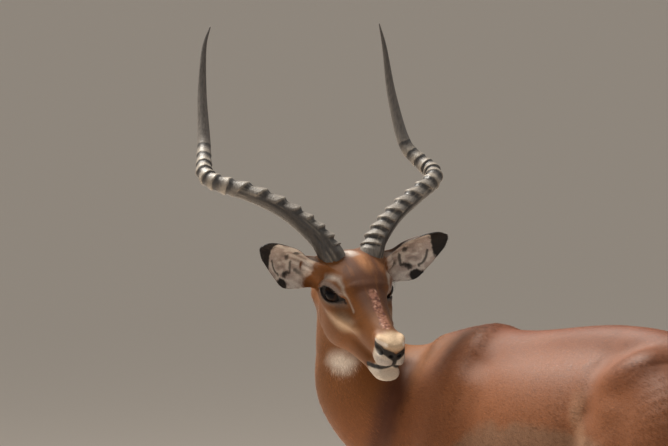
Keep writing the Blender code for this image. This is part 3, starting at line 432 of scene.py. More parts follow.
def head_parts():
    parts = [head_tube(SKULL, k=0.02, e=2.15, cap=(0.026, 0.010))]
    brow = [head_row(f, 0, u, w, h) for f, u, w, h in BROW]
    parts.append(Tube(brow, LEFT, k=0.015, e=2.8, cap=(0.008, 0.008)))
    parts.append(head_tube(JAW, k=0.010, e=2.3, cap=(0.006, 0.006)))
    parts.append(head_ball((13.7, 0, -3.1), (1.5, 1.6, 1.5), k=0.008))
    for s in SIDES:
        parts += cheek_parts(s) + eye_parts(s) + nose_parts(s)
        parts.append(head_ball(flipped(HORN_SEAT, s), (2.3, 2.1, 1.5), k=0.012))
    line = MOUTH + [(f, -l, u) for f, l, u in MOUTH[-2::-1]]
    rows = [head_row(f, l, u, MOUTH_GROOVE, MOUTH_GROOVE) for f, l, u in line]
    parts.append(Tube(rows, CROWN, k=0.004, cut=True))
    return parts


def cheek_parts(s):
    muscle = head_ball((-1.2, s * 3.0, -5.0), (4.6, 1.7, 4.3), k=0.02)
    return [muscle, side_tube(CHEEK_BONE, s, CROWN, k=0.02)]


def eye_parts(s):
    axes = eye_axes(s)
    look, nose, across = axes
    centre = eye_centre(s)
    lids = Ellipsoid(centre, np.array((2.12, 2.95, 2.35)) * CM, axes, k=0.008)
    rim = [(*(centre + CM * (x * nose + y * across + out * look)), 0.0040, 0.0040) for x, y, out in EYE_RIM]
    hollow = head_ball((3.9, s * 4.3, -0.9), (2.2, 0.9, 1.2), k=0.015, cut=True)
    return [lids, Tube(rim, LEFT, k=0.008), EyeOpening(s), hollow]


def nose_parts(s):
    lip = head_ball((12.9, s * 1.0, -4.75), (2.4, 1.35, 1.4), k=0.008)
    wing = side_tube(NOSTRIL_WING, s, CROWN, k=0.008)
    slit = side_tube([(*row, row[3]) for row in NOSTRIL], s, CROWN, k=0.003, cut=True)
    return [lip, wing, slit]


# -------------------- ears

# along the ear, half width below and above its middle line, and depth of its cup
EAR = [(-0.5, 2.4, 1.2, 1.6), (1.5, 3.2, 1.2, 2.0), (4.0, 4.2, 1.3, 2.4), (6.3, 4.7, 2.0, 2.3),
       (8.6, 3.7, 2.0, 1.7), (10.8, 2.5, 1.8, 1.0), (12.4, 1.5, 1.3, 0.5), (13.4, 0.3, 0.35, 0.2)]
EAR_BASE = (-6.3, 4.2, 0.8)
EAR_TIP = (-5.3, 16.6, 6.4)
EAR_FRONT = (0.98, -0.14, 0.13)   # the way its opening faces
EAR_THICK = 0.50
EAR_STALK = [(-5.8, 3.2, 0.6, 1.9, 1.9), (-6.2, 5.0, 1.0, 1.75, 1.8), (-6.5, 6.6, 1.7, 1.5, 1.6)]


class EarShell(Solid):
    """A leaf-shaped cup that opens forwards."""
    def __init__(self, s, k=0.012):
        self.base, tip = head(*flipped(EAR_BASE, s)), head(*flipped(EAR_TIP, s))
        along = unit(tip - self.base)
        front = square(flipped(EAR_FRONT, s) @ HEAD, [along])
        self.axes = np.array((along, square(CROWN, [along, front]), front))
        self.rows = spline(EAR, 5)
        ends = np.array((self.base, tip))
        super().__init__(ends.min(0) - 0.05, ends.max(0) + 0.05, k, False)

    def __call__(self, p):
        q = (p - self.base) @ self.axes.T / CM
        along, side, front = q.T
        at, *columns = self.rows.T
        low, high, deep = (np.interp(along, at, column) for column in columns)
        half = np.maximum(np.where(side > 0, high, low), 0.05)
        across = np.clip(np.abs(side) / half, 0, 1.3)
        slope = np.sqrt(1 + (2 * deep * across / half) ** 2)
        sheet = np.abs(front - 0.5 + deep * (1 - across ** 2)) / slope - EAR_THICK / 2
        edge = np.maximum(np.abs(side) - half, np.maximum(-0.8 - along, along - at[-1]))
        rim = edge + EAR_THICK / 2
        rounded = np.hypot(sheet + EAR_THICK / 2, rim) - EAR_THICK / 2
        corner = (rim > 0) & (sheet + EAR_THICK / 2 > 0)
        return np.where(corner, rounded, np.maximum(sheet, edge)) * CM


def ear_parts():
    parts = []
    for s in SIDES:
        parts += [side_tube(EAR_STALK, s, FORWARD, k=0.012), EarShell(s)]
    return parts


# -------------------- surface of the form

def form(p, parts):
    """Distance, nearly, from points to the form's surface: negative inside."""
    d = np.full(len(p), FAR)
    for part in parts:
        here = ((p > part.low) & (p < part.high)).all(1)
        if not here.any():
            continue
        near = part(p[here])
        if part.cut:
            d[here] = -smooth_union(-d[here], near, part.k)
        else:
            d[here] = smooth_union(d[here], near, part.k)
    return d


def surface(parts, low, high, step, block=4):
    """Points and quads of the form's surface, sampled finely only in blocks that it passes through."""
    low = np.asarray(low, float)
    size = step * block
    count = np.ceil((np.asarray(high) - low) / size).astype(int) + 1
    cells = np.stack(np.meshgrid(*[np.arange(n) for n in count], indexing="ij"), -1).reshape(-1, 3)
    middle = form(low + (cells * block + (block - 1) / 2) * step, parts)
    near = np.abs(middle) < size * 1.5
    corners = np.stack(np.meshgrid(*[np.arange(block)] * 3, indexing="ij"), -1).reshape(-1, 3)
    grid = np.repeat(np.sign(middle)[:, None] * size, block ** 3, 1).astype(np.float32)
    fine = (cells[near][:, None] * block + corners).reshape(-1, 3) * step + low
    grid[near] = form(fine, parts).reshape(-1, block ** 3)
    grid = grid.reshape(*count, block, block, block).transpose(0, 3, 1, 4, 2, 5).reshape(count * block)
    volume = openvdb.FloatGrid(background=size)
    volume.copyFromArray(np.ascontiguousarray(grid))
    points, quads = volume.convertToQuads(0.0)
    return points * step + low, quads[:, ::-1]


class Below(Solid):
    """What lies under a foot's coronet, cut off the form."""
    REACH = np.array((0.06, 0.05, 0.05))

    def __init__(self, centre, normal, k=0.002):
        self.centre, self.normal = np.asarray(centre), np.asarray(normal)
        super().__init__(self.centre - self.REACH, self.centre + self.REACH, k, True)

    def __call__(self, p):
        return (p - self.centre) @ self.normal


# -------------------- numbers over the form

def ramp(x, a, b):
    """0 at a, 1 at b, smooth between, whichever is larger."""
    t = np.clip((x - a) / (b - a), 0, 1)
    return t * t * (3 - 2 * t)


def patch(q, centre, radii, soft):
    """1 inside an ellipsoid, fading over its border."""
    r = np.linalg.norm((q - np.asarray(centre)) / np.asarray(radii), axis=1)
    return ramp(r, 1 + soft, 1 - soft)


def to_line(q, points):
    """Distance to a chain of points."""
    best = np.full(len(q), np.inf)
    for a, b in zip(np.asarray(points, float), np.asarray(points, float)[1:]):
        d = b - a
        t = np.clip((q - a) @ d / (d @ d), 0, 1)
        best = np.minimum(best, np.linalg.norm(q - a - t[:, None] * d, axis=1))
    return best


CELLS = 32                        # of the lattice along each axis, before it repeats
LATTICE = np.random.default_rng(7).random((CELLS, CELLS, CELLS))


def noise(p, size, shift=0.0):
    """Smooth random values from 0 to 1 over cells of the given size, which may differ by axis."""
    q = p / np.asarray(size, float) + shift
    cell = np.floor(q).astype(int)
    t = q - cell
    t = t * t * (3 - 2 * t)
    out = np.zeros(len(p))
    for corner in np.ndindex(2, 2, 2):
        weight = np.prod(np.where(corner, t, 1 - t), axis=1)
        i, j, k = ((cell + corner) % CELLS).T
        out += weight * LATTICE[i, j, k]
    return out


def in_head(v):
    """Directions of the world in the head's frame: forward, left, up."""
    return v @ HEAD.T


def on_head(p):
    """Points of the world in the head's frame, in cm."""
    return in_head(p - EYE_MIDDLE) / CM


def in_eye(p, s):
    """Centimetres out of an eye, along its opening towards the nose, and up across it."""
    return (p - eye_centre(s)) @ eye_axes(s).T / CM


# -------------------- skin

JOIN_ROW = 30                     # of the neck's fine rows, where the head's sampling takes over
JOIN_GAP = 0.003
JOIN_REACH = 0.115                # around the join's middle
JOIN_SIDE = 0.02                  # past the cut, where the part that goes is looked for
BODY_BOX = ((-0.52, -0.36, -0.02), (0.56, 0.19, 1.06))
HEAD_BOX_MIDDLE = (2.5, 0, -1.0)  # in the head's frame
HEAD_BOX_REACH = (0.23, 0.23, 0.17)

CORONET = 0.026                   # height of the hooves' upper edge
CORONET_TILT = 19.0
# x and |y| of the feet, before each one's own step
FORE_FOOT = (-0.246, 0.070)
HIND_FOOT = (0.338, 0.077)


def foot_cuts():
    tilt = math.radians(CORONET_TILT)
    normal = (math.sin(tilt), 0.0, math.cos(tilt))
    return [Below((x + step, s * y, CORONET), normal)
            for (x, y), pair in ((FORE_FOOT, FORE), (HIND_FOOT, HIND)) for s, step in pair]


TRUNK = trunk_parts()
NECK_TUBE = neck_parts()[0]
LEGS = leg_parts() + foot_cuts()
SKULL_PARTS = head_parts()
EARS = ear_parts()
TAIL = tail_parts()
EVERYTHING = TRUNK + [NECK_TUBE] + LEGS + SKULL_PARTS + EARS + TAIL


def biggest_piece(points, quads):
    """The largest connected piece of a surface, without the specks that sampling leaves."""
    group = np.arange(len(points))
    ends = np.stack([quads, np.roll(quads, 1, 1)], -1).reshape(-1, 2)
    while True:
        low = np.minimum(group[ends[:, 0]], group[ends[:, 1]])
        before = group.copy()
        np.minimum.at(group, ends[:, 0], low)
        np.minimum.at(group, ends[:, 1], low)
        group = group[group[group]]
        if (group == before).all():
            break
    main = np.bincount(group).argmax()
    keep = group == main
    place = np.cumsum(keep) - 1
    return points[keep], place[quads[keep[quads[:, 0]]]]


def bmesh_of(points, faces):
    mesh = bpy.data.meshes.new("surface")
    mesh.from_pydata(points.tolist(), [], faces.tolist())
    bm = bmesh.new()
    bm.from_mesh(mesh)
    bpy.data.meshes.remove(mesh)
    return bm


def trim(points, quads, way):
    """A surface opened across the neck: what lies beyond the cut goes, on the head's side if way is -1."""
    bm = bmesh_of(points, quads)
    tangent = Vector(NECK_TUBE.tangent[JOIN_ROW])
    centre = Vector(NECK_TUBE.c[JOIN_ROW]) + tangent * (way * JOIN_GAP / 2)
    near = [face for face in bm.faces if all((v.co - centre).length < JOIN_REACH for v in face.verts)]
    geometry = set(near)
    for face in near:
        geometry.update(face.verts)
        geometry.update(face.edges)
    cut = bmesh.ops.bisect_plane(bm, geom=list(geometry), plane_co=centre, plane_no=tangent)["geom_cut"]
    barrier = {item for item in cut if isinstance(item, bmesh.types.BMEdge)}
    beyond = centre - tangent * (way * JOIN_SIDE)
    ring = {face for edge in barrier for face in edge.link_faces}
    lost = [face for face in ring if (face.calc_center_median() - beyond).dot(tangent) * way < JOIN_SIDE]
    lost = {min(lost, key=lambda face: (face.calc_center_median() - centre).length)}
    queue = list(lost)
    while queue:
        for edge in queue.pop().edges:
            if edge not in barrier:
                for face in edge.link_faces:
                    if face not in lost:
                        lost.add(face)
                        queue.append(face)
    bmesh.ops.delete(bm, geom=list(lost), context="FACES")
    return bm


def open_ring(bm, centre, x, y):
    """The corners of a surface's open edge, sorted by their angle about the neck's middle line."""
    ring = {v for edge in bm.edges if edge.is_boundary for v in edge.verts}
    angle = {v: math.atan2((v.co - centre).dot(y), (v.co - centre).dot(x)) for v in ring}
    ring = sorted(ring, key=angle.get)
    return ring, [angle[v] for v in ring]


def zip_rings(bm, first, second):
    """Fills the gap between two rings of corners with triangles."""
    (a, at_a), (b, at_b) = first, second
    i = j = 0
    while i < len(a) or j < len(b):
        next_a = at_a[i + 1] if i + 1 < len(a) else at_a[0] + 2 * math.pi
        next_b = at_b[j + 1] if j + 1 < len(b) else at_b[0] + 2 * math.pi
        here = (a[i % len(a)], b[j % len(b)])
        if j >= len(b) or (i < len(a) and next_a < next_b):
            i += 1
            bm.faces.new((here[0], here[1], a[i % len(a)]))
        else:
            j += 1
            bm.faces.new((here[0], here[1], b[j % len(b)]))


def skin_surface():
    """Points and triangles of the whole skin: the body and the finer head, joined across the neck."""
    sampled = surface(TRUNK + [NECK_TUBE] + LEGS + TAIL, *BODY_BOX, BODY_STEP)
    body = trim(*biggest_piece(*sampled), -1)
    middle, reach = head(*HEAD_BOX_MIDDLE), np.array(HEAD_BOX_REACH)
    sampled = surface([NECK_TUBE] + SKULL_PARTS + EARS, middle - reach, middle + reach, HEAD_STEP)
    top = trim(*biggest_piece(*sampled), 1)
    centre = Vector(NECK_TUBE.c[JOIN_ROW])
    x = Vector(square(np.array((0.0, 0.0, 1.0)), [NECK_TUBE.tangent[JOIN_ROW]]))
    y = Vector(NECK_TUBE.tangent[JOIN_ROW]).cross(x)
    old = set(body.verts)
    mesh = bpy.data.meshes.new("top")
    top.to_mesh(mesh)
    lower = open_ring(body, centre, x, y)
    body.from_mesh(mesh)
    both = open_ring(body, centre, x, y)
    upper = [(v, at) for v, at in zip(*both) if v not in old]
    zip_rings(body, lower, ([v for v, _ in upper], [at for _, at in upper]))
    bmesh.ops.triangulate(body, faces=body.faces[:])
    bmesh.ops.recalc_face_normals(body, faces=body.faces[:])
    if body.calc_volume(signed=True) < 0:
        bmesh.ops.reverse_faces(body, faces=body.faces[:])
    body.normal_update()
    joined = bpy.data.meshes.new("skin")
    body.to_mesh(joined)
    return joined


def vertex_array(mesh, name="co"):
    flat = np.empty(len(mesh.vertices) * 3, np.float32)
    mesh.vertices.foreach_get(name, flat)
    return flat.reshape(-1, 3).astype(float)


def move_points(mesh, points):
    """Puts a mesh's points at new places, and gives their normals there."""
    mesh.vertices.foreach_set("co", points.astype(np.float32).ravel())
    mesh.update()
    return vertex_array(mesh, "normal")


def triangle_array(mesh):
    flat = np.empty(len(mesh.loops), np.int32)
    mesh.loops.foreach_get("vertex_index", flat)
    return flat.reshape(-1, 3)


REGIONS = {"trunk": TRUNK, "neck": [NECK_TUBE], "head": SKULL_PARTS, "ear": EARS, "leg": leg_parts(),
           "tail": TAIL}
REGION_BLEND = 0.012


def region_weights(p):
    """How far each point belongs to each region, between 0 and 1."""
    distance = np.stack([form(p, [part for part in parts if not part.cut]) for parts in REGIONS.values()], 1)
    weight = np.exp((distance.min(1, keepdims=True) - distance) / REGION_BLEND)
    weight /= weight.sum(1, keepdims=True)
    return dict(zip(REGIONS, weight.T))


# depth of the coat, length and width of its tufts, and their spacing, in metres
COAT = {"trunk": (0.0016, 0.0100, 0.0012, 0.00245), "neck": (0.0017, 0.0100, 0.0012, 0.0024),
        "head": (0.0009, 0.0055, 0.00068, 0.00129), "ear": (0.0006, 0.0042, 0.0007, 0.0015),
        "leg": (0.0011, 0.0065, 0.0011, 0.0024), "tail": (0.0045, 0.0300, 0.0022, 0.0034)}


def coat_sizes(p, weight):
    """The coat's four sizes at each point."""
    sizes = sum(weight[name][:, None] * np.array(COAT[name]) for name in REGIONS)
    muzzle = ramp(on_head(p)[:, 0], 3.0, 11.0) * weight["head"]
    sizes[:, 0] *= 1 - 0.5 * muzzle
    sizes[:, 1] *= 1 - 0.35 * muzzle
    return sizes


def lie_of_coat(p, n, weight):
    """The way the hair lies at each point, along the surface."""
    s = np.where(on_head(p)[:, 1] > 0, 1.0, -1.0)[:, None]
    down = ramp(p[:, 2], 0.78, 0.60)[:, None]
    ones = np.ones((len(p), 1))
    ways = {"trunk": np.array((1.0, 0, -0.22)) * (1 - down) + np.array((0.55, 0, -1.0)) * down,
            "neck": -NECK_TUBE.between(NECK_TUBE.tangent, NECK_TUBE.nearest(p)),
            "head": (np.array((-1.0, 0.0, -0.12)) + 0.25 * s * np.array((0.0, 1.0, 0.0))) @ HEAD,
            "ear": (np.array((0.05, 0.0, 0.42)) + 0.9 * s * np.array((0.0, 1.0, 0.0))) @ HEAD,
            "leg": np.array((0.12, 0, -1.0)) * ones,
            "tail": np.array((0.10, 0, -1.0)) * ones}
    way = sum(weight[name][:, None] * ways[name] for name in REGIONS)
    return unit_rows(off_axis(way, n))


# -------------------- markings

RUFOUS = (0.168, 0.057, 0.019)
SPINE = (0.120, 0.032, 0.013)
FAWN = (0.158, 0.077, 0.040)
TAN = (0.138, 0.047, 0.009)
BLAZE = (0.300, 0.130, 0.050)
FOLD_SHADE = (0.070, 0.021, 0.009)
RUSSET = (0.062, 0.018, 0.005)
CREAM = (0.600, 0.450, 0.300)
WHITE = (0.740, 0.690, 0.620)
GREY = (0.450, 0.400, 0.360)
SMOKE = (0.120, 0.095, 0.080)
BLACK = (0.014, 0.011, 0.010)
RIDGE_TAN_HIGHLIGHT = (0.300, 0.170, 0.100)


class Paint:
    """Colours laid over each other by masks."""
    def __init__(self, colour, count):
        self.rgb = np.tile(np.array(colour, float), (count, 1))

    def over(self, colour, mask):
        self.rgb += (np.array(colour) - self.rgb) * np.clip(mask, 0, 1)[:, None]


# the saddle's lower edge: x and height
FLANK = ((-0.30, -0.20, -0.12, 0.0, 0.10, 0.18, 0.26, 0.36, 0.42),
         (0.60, 0.67, 0.735, 0.748, 0.750, 0.742, 0.700, 0.665, 0.670))
# creases and ridges of the skin: depth, half width, and points of their line
NECK_FOLDS = [(0.0030, 0.0120, [(-0.325, -0.076, 0.821), (-0.316, -0.090, 0.795), (-0.313, -0.103, 0.770),
                                (-0.320, -0.114, 0.732), (-0.332, -0.117, 0.696)]),
              (0.0016, 0.0075, [(-0.324, -0.098, 0.795), (-0.325, -0.112, 0.762), (-0.332, -0.119, 0.726),
                                (-0.344, -0.118, 0.695)])]
HIP_CREASE = (0.0020, 0.0200, [(0.134, -0.028, 0.893), (0.139, -0.058, 0.857), (0.153, -0.099, 0.819)])
FLANK_RIDGE = (-0.0024, 0.0180, [(0.110, -0.075, 0.845), (0.134, -0.109, 0.794), (0.135, -0.119, 0.766),
                                 (0.160, -0.128, 0.724)])
# the black bar down each buttock: |y| and height
RUMP_BAR = [(0.026, 0.830), (0.050, 0.775), (0.064, 0.700), (0.066, 0.640), (0.060, 0.600)]


def fold_depth(p):
    """How far the creases sink below the skin; those of the hind part are alike on both sides."""
    mirrored = one_side(p, -1.0)
    folds = [(p, fold) for fold in NECK_FOLDS] + [(mirrored, HIP_CREASE), (mirrored, FLANK_RIDGE)]
    return sum(deep * np.exp(-(to_line(q, points) / wide) ** 2) for q, (deep, wide, points) in folds)


def paint_trunk(paint, p, n, weight):
    x, y, z = p.T
    a = np.abs(y)
    wander = (noise(p, 0.03) - 0.5) * 0.02 + (noise(p, 0.008, 3) - 0.5) * 0.006
    flank = np.interp(x, *FLANK)
    body = 1 - weight["neck"] * ramp(x, -0.25, -0.33) - weight["head"] - weight["ear"]
    paint.over(SPINE, ramp(z + wander, 0.77, 0.88) * body * weight["trunk"] * 0.45)
    paint.over(SPINE, ramp(a + wander, 0.05, 0.012) * ramp(z, 0.84, 0.87) * body * 0.6)
    paint.over(FAWN, ramp(z + wander, flank + 0.010, flank - 0.012) * body)
    # the pale fold in front of the thigh, with a painted highlight that makes its ridge lighter
    ridge = to_line(one_side(p, -1.0), FLANK_RIDGE[2][1:])
    paint.over(RIDGE_TAN_HIGHLIGHT, ramp(ridge + wander, 0.024, 0.006) * ramp(z, 0.83, 0.77) * 0.45)
    # painted shade along the folds at the neck's root: a broad soft band, darkest in each fold
    for _, wide, points in NECK_FOLDS:
        away = to_line(p, points) + wander * 0.5
        deepest = ramp(away, wide * 1.1, wide * 0.1) * 0.8
        paint.over(FOLD_SHADE, np.maximum(ramp(away, 0.034, 0.004) * 0.6, deepest))
    limb = ramp(a, 0.060, 0.085) * (ramp(x, -0.12, -0.15) + ramp(x, 0.19, 0.22))
    belly = ramp(-n[:, 2] + wander * 4, 0.25, 0.62) * ramp(z, 0.66, 0.62)
    paint.over(WHITE, belly * weight["trunk"] * (1 - limb))
    # buttocks: pale between two black bars
    rear = ramp(x, 0.365, 0.40) * ramp(n[:, 0], 0.05, 0.4)
    paint.over(CREAM, rear * ramp(a + wander * 0.5, 0.068, 0.052) * ramp(z, 0.60, 0.63))
    bar = to_line(np.stack([a, z], 1), RUMP_BAR)
    paint.over(BLACK, rear * ramp(bar + wander * 0.4, 0.010, 0.0055))


def paint_limbs(paint, p, n, weight):
    _, y, z = p.T
    inner = ramp(-n[:, 1] * np.sign(y), 0.1, 0.7) * ramp(z, 0.62, 0.55) * weight["leg"]
    paint.over(CREAM, inner * 0.75)
    paint.over(TAN, weight["leg"] * ramp(z, 0.40, 0.25) * 0.45 * (1 - inner))
    # a black tuft behind each hind fetlock
    for s, step in HIND:
        tuft = patch(p, (0.385 + step, s * 0.077, 0.125), (0.022, 0.016, 0.034), 0.3)
        paint.over(BLACK, tuft * ramp(n[:, 0], -0.1, 0.3))
    paint.over(SMOKE, ramp(z, 0.045, 0.032) * 0.8)


def paint_tail(paint, p, n, weight):
    x, y, z = p.T
    tail = weight["tail"] * ramp(x, 0.44, 0.46)
    paint.over(WHITE, tail * ramp(z, 0.83, 0.76))
    paint.over(BLACK, tail * ramp(np.abs(y), 0.010, 0.005) * ramp(n[:, 0], 0.2, 0.6) * ramp(z, 0.56, 0.60))


# an old scar down the bridge: its line, and each colour's edges across it, its mottling and its strength
SCAR_LINE = [(4.0, 0.0, 1.9), (7.0, 0.0, 0.6), (10.6, 0.0, -0.5)]
SCAR_COLOURS = [((0.250, 0.108, 0.070), (0.95, 0.55), (0.25, 0.55), 1.0),
                ((0.100, 0.032, 0.024), (1.05, 0.75), (0.36, 0.22), 0.9),
                ((0.480, 0.300, 0.220), (0.95, 0.65), (0.70, 0.84), 0.8)]


def paint_head(paint, p, n, weight):
    q = on_head(p)
    side = one_side(q, 1.0)
    f, a, u = side.T
    nh = in_head(n)
    face = np.clip(weight["head"] * 1.4, 0, 1)
    wander = (noise(p, 0.012, 5) - 0.5) * 0.9 + (noise(p, 0.004, 9) - 0.5) * 0.5
    # dark forehead and bridge, reddish tuft between the horns
    top = ramp(nh[:, 2], 0.30, 0.80)
    paint.over(RUSSET, face * top * ramp(a + wander, 3.8, 2.4) * ramp(f, 9.0, 5.0) * 0.8)
    paint.over(BLAZE, face * patch(q + wander[:, None] * 0.6, (-2.2, 0.5, 4.6), (2.6, 1.1, 1.4), 0.8) * 0.75)
    paint.over(GREY, face * patch(q + wander[:, None] * 0.6, (-4.6, -0.7, 4.7), (1.2, 1.0, 1.2), 0.7) * 0.8)
    streaks = noise(q, (2.2, 0.35, 2.2), 6)
    paint.over(TAN, face * top * ramp(streaks, 0.60, 0.80) * ramp(a, 4.0, 2.5) * ramp(f, 7.0, 3.0) * 0.55)
    scar = to_line(side, SCAR_LINE) + wander * 0.3
    rough = noise(p, 0.0028, 4)
    for colour, edges, mottling, strength in SCAR_COLOURS:
        paint.over(colour, face * ramp(scar, *edges) * ramp(rough, *mottling) * strength)
    # lower jaw, cheek stripe and throat
    paint.over(CREAM, face * patch(side, (2.8, 3.7, -3.6), (3.4, 1.6, 1.3), 0.8) * 0.50)
    paint.over(WHITE, patch(q + wander[:, None] * 0.5, (-2.6, 0.0, -13.7), (1.9, 2.0, 1.8), 0.8)
               * np.clip(face + weight["neck"], 0, 1) * 0.72)
    paint.over(CREAM, face * ramp(-nh[:, 2], 0.45, 0.9) * ramp(u, -7.2, -8.6) * ramp(f, 2.0, 7.0) * 0.7)
    paint_eyes(paint, p, face, wander)
    paint_muzzle(paint, side, nh, face, wander)


# round an eye, in cm along it and across it: the pale line above it that runs down in front of it
EYE_LINE = [(-2.4, 1.75), (-1.0, 2.55), (0.7, 2.75), (1.9, 1.95), (2.8, 0.8), (3.9, -0.4), (4.9, -1.2)]
EYE_CORNERS = ([(1.9, -0.10), (2.5, -0.40), (2.8, -0.60)], [(-1.9, 0.05), (-2.4, 0.10)])
EYE_GREY = (0.220, 0.180, 0.160)
EYE_WHITE = (0.330, 0.280, 0.235)


def paint_eyes(paint, p, face, wander):
    for s in SIDES:
        out, x, y = in_eye(p, s).T
        near = face * ramp(out, -0.6, 0.4)
        edge = lid_edge(x, y)
        flat = np.stack([x, y], 1)
        line = to_line(flat, EYE_LINE) + wander * 0.25
        paint.over(EYE_WHITE, near * ramp(line, 0.85 - 0.11 * np.clip(x, 0, 4), -0.10) * 0.80)
        paint.over(EYE_GREY, near * ramp(y, 0.2, 0.9) * ramp(edge, 1.25, 0.6) * ramp(np.abs(x), 2.9, 2.1)
                   * 0.75)
        paint.over(FAWN, near * ramp(y, -0.4, -1.2) * ramp(edge + wander * 0.3, 1.5, 0.7) * 0.6)
        # painted shade under the lower lid and towards the eye's inner corner
        paint.over(SMOKE, near * ramp(y, 0.2, -0.5) * ramp(edge, 0.75, 0.25) * 0.75)
        shade = np.hypot((x - 1.9) / 1.9, (y + 1.0) / 0.9)
        paint.over(SMOKE, near * ramp(shade, 1.1, 0.2) * ramp(line, 0.2, 0.7) * 0.55)
        paint.over(BLACK, near * ramp(edge, 0.17, 0.08))
        for corner in EYE_CORNERS:
            paint.over(BLACK, near * ramp(to_line(flat, corner), 0.34, 0.10))


LIP_BLUE = (0.250, 0.228, 0.222)
LIP_WHITE = (0.390, 0.335, 0.280)
# along a nostril's upper edge, and the painted highlight on the rim above it
NOSTRIL_EDGE = [(12.2, 2.3, -2.80), (13.5, 2.0, -2.80), (14.6, 1.4, -2.95), (15.2, 0.7, -3.3),
                (15.3, 0.2, -3.7)]
NOSTRIL_HIGHLIGHT = [(12.2, 2.5, -1.95), (13.4, 2.2, -1.85), (14.5, 1.5, -1.9)]


def paint_muzzle(paint, side, nh, face, wander):
    f, a, u = side.T
    soft = wander * 0.3
    paint.over(CREAM, face * ramp(f + soft, 11.1, 12.8) * ramp(nh[:, 2], 0.0, 0.5) * 0.75)
    paint.over(LIP_WHITE, face * ramp(f + soft, 11.3, 12.6) * ramp(u, -2.9, -3.6) * 0.9)
    # the chin is white in a U
    paint.over(LIP_WHITE, face * ramp(f + soft, 9.8, 11.0) * ramp(u, -6.6, -7.2) * ramp(f, 8.6, 9.8))
    paint.over(LIP_BLUE, face * ramp(f, 12.6, 13.8) * ramp(u, -3.9, -4.4) * ramp(u, -6.2, -5.5) * 0.55)
    # painted highlight on the rim over each nostril
    paint.over(WHITE, face * ramp(to_line(side, NOSTRIL_HIGHLIGHT), 0.48, 0.12) * 0.55)
    nostril = to_line(side, NOSTRIL_LINE)
    paint.over(BLACK, face * ramp(nostril, 0.72, 0.52) * ramp(u + 0.25 * a, -2.0, -2.45))
    paint.over(BLACK, face * ramp(to_line(side, NOSTRIL_EDGE), 0.74, 0.54))
    paint.over(BLACK, face * ramp(a, 0.46, 0.28) * ramp(f, 12.8, 13.4) * ramp(u, -3.4, -3.8)
               * ramp(u, -5.7, -5.4))
    # painted shade along the mouth's line between the lips
    mouth = to_line(side * (1, 0.3, 1), np.array(MOUTH) * (1, 0.3, 1))
    paint.over(BLACK, face * ramp(mouth, 0.42, 0.28) * ramp(a, 4.0, 3.0))


# strokes inside an ear, in cm along it and across it, with half their width
EAR_STROKES = [([(9.7, -1.2), (9.0, -2.2), (8.4, -2.7), (7.5, -3.0)], 0.13),
               ([(5.3, -0.6), (5.0, -2.1), (6.1, -2.6)], 0.20),
               ([(4.2, -1.5), (2.8, -1.9), (1.8, -2.6)], 0.22),
               ([(6.0, -2.6), (6.1, -2.8)], 0.45),
               ([(6.4, -0.1), (6.5, 0.0)], 0.40),
               ([(5.6, 1.1), (5.8, 1.1)], 0.32)]
EAR_LILAC = (0.420, 0.345, 0.305)
EAR_PALE = (0.620, 0.560, 0.500)


def paint_ears(paint, p, n, weight):
    for s in SIDES:
        shell = EAR_SHELLS[s]
        along, across, front = ((p - shell.base) @ shell.axes.T / CM).T
        here = weight["ear"] * ramp(along, -0.5, 0.5) * (np.linalg.norm(p - shell.base, axis=1) < 0.2)
        fuzz = noise(np.stack([along * 4, across * 4, front * 0], 1), 1.0, 8) - 0.5
        inside = here * ramp(n @ shell.axes[2], -0.05, 0.25) * ramp(along + fuzz * 0.5, 2.2, 3.6)
        low, high = (np.interp(along, shell.rows[:, 0], shell.rows[:, c]) for c in (1, 2))
        share = across / np.maximum(np.where(across > 0, high, low), 0.1)
        streak = noise(np.stack([along, across * 2.6, front * 0], 1), 1.1, 3)
        paint.over(EAR_LILAC, inside)
        paint.over(EAR_PALE, inside * ramp(streak, 0.42, 0.70) * 0.8)
        paint.over(EAR_PALE, inside * ramp(along, 5.0, 3.0) * 0.6)
        root = patch(np.stack([along, across, front], 1), (1.6, 1.2, 0.6), (1.3, 1.4, 1.2), 0.8)
        paint.over(BLAZE, here * root * 0.7)
        paint.over(SMOKE, inside * ramp(streak, 0.30, 0.16) * ramp(along, 9.5, 7.0) * 0.45)
        flat = np.stack([along + fuzz * 0.25, across + fuzz * 0.25], 1)
        for points, wide in EAR_STROKES:
            paint.over(BLACK, inside * ramp(to_line(flat, points), wide + 0.14, wide * 0.6) * 0.85)
        spot = np.hypot((flat[:, 0] - 6.6) / 1.2, (flat[:, 1] + 4.2) / 0.9)
        paint.over(BLACK, here * ramp(spot, 1.1, 0.85))
        paint.over(BLACK, here * ramp(share, 0.84, 0.94) * ramp(along, 8.6, 9.6))
        paint.over(BLACK, here * ramp(np.abs(share), 0.93, 0.98) * ramp(along, 3.5, 5.0) * 0.8)
        paint.over(BLACK, here * ramp(along + 0.25 * (share < 0) * -share + fuzz * 0.5, 10.35, 10.85))


def markings(p, n, weight):
    """The coat's colour at each point of the skin."""
    paint = Paint(TAN, len(p))
    neck = weight["neck"] * ramp(p[:, 2], 0.80, 0.70) * 0.7
    paint.over(RUFOUS, weight["trunk"] + neck + weight["tail"] * 0.5)
    paint_trunk(paint, p, n, weight)
    paint_limbs(paint, p, n, weight)
    paint_tail(paint, p, n, weight)
    paint_head(paint, p, n, weight)
    paint_ears(paint, p, n, weight)
    mottle = 0.90 + 0.12 * noise(p, 0.05, 11) + 0.08 * noise(p, 0.012, 2)
    return paint.rgb * mottle[:, None]


# -------------------- meshes and materials

def add_object(name, data):
    obj = bpy.data.objects.new(name, data)
    bpy.context.scene.collection.objects.link(obj)
    return obj


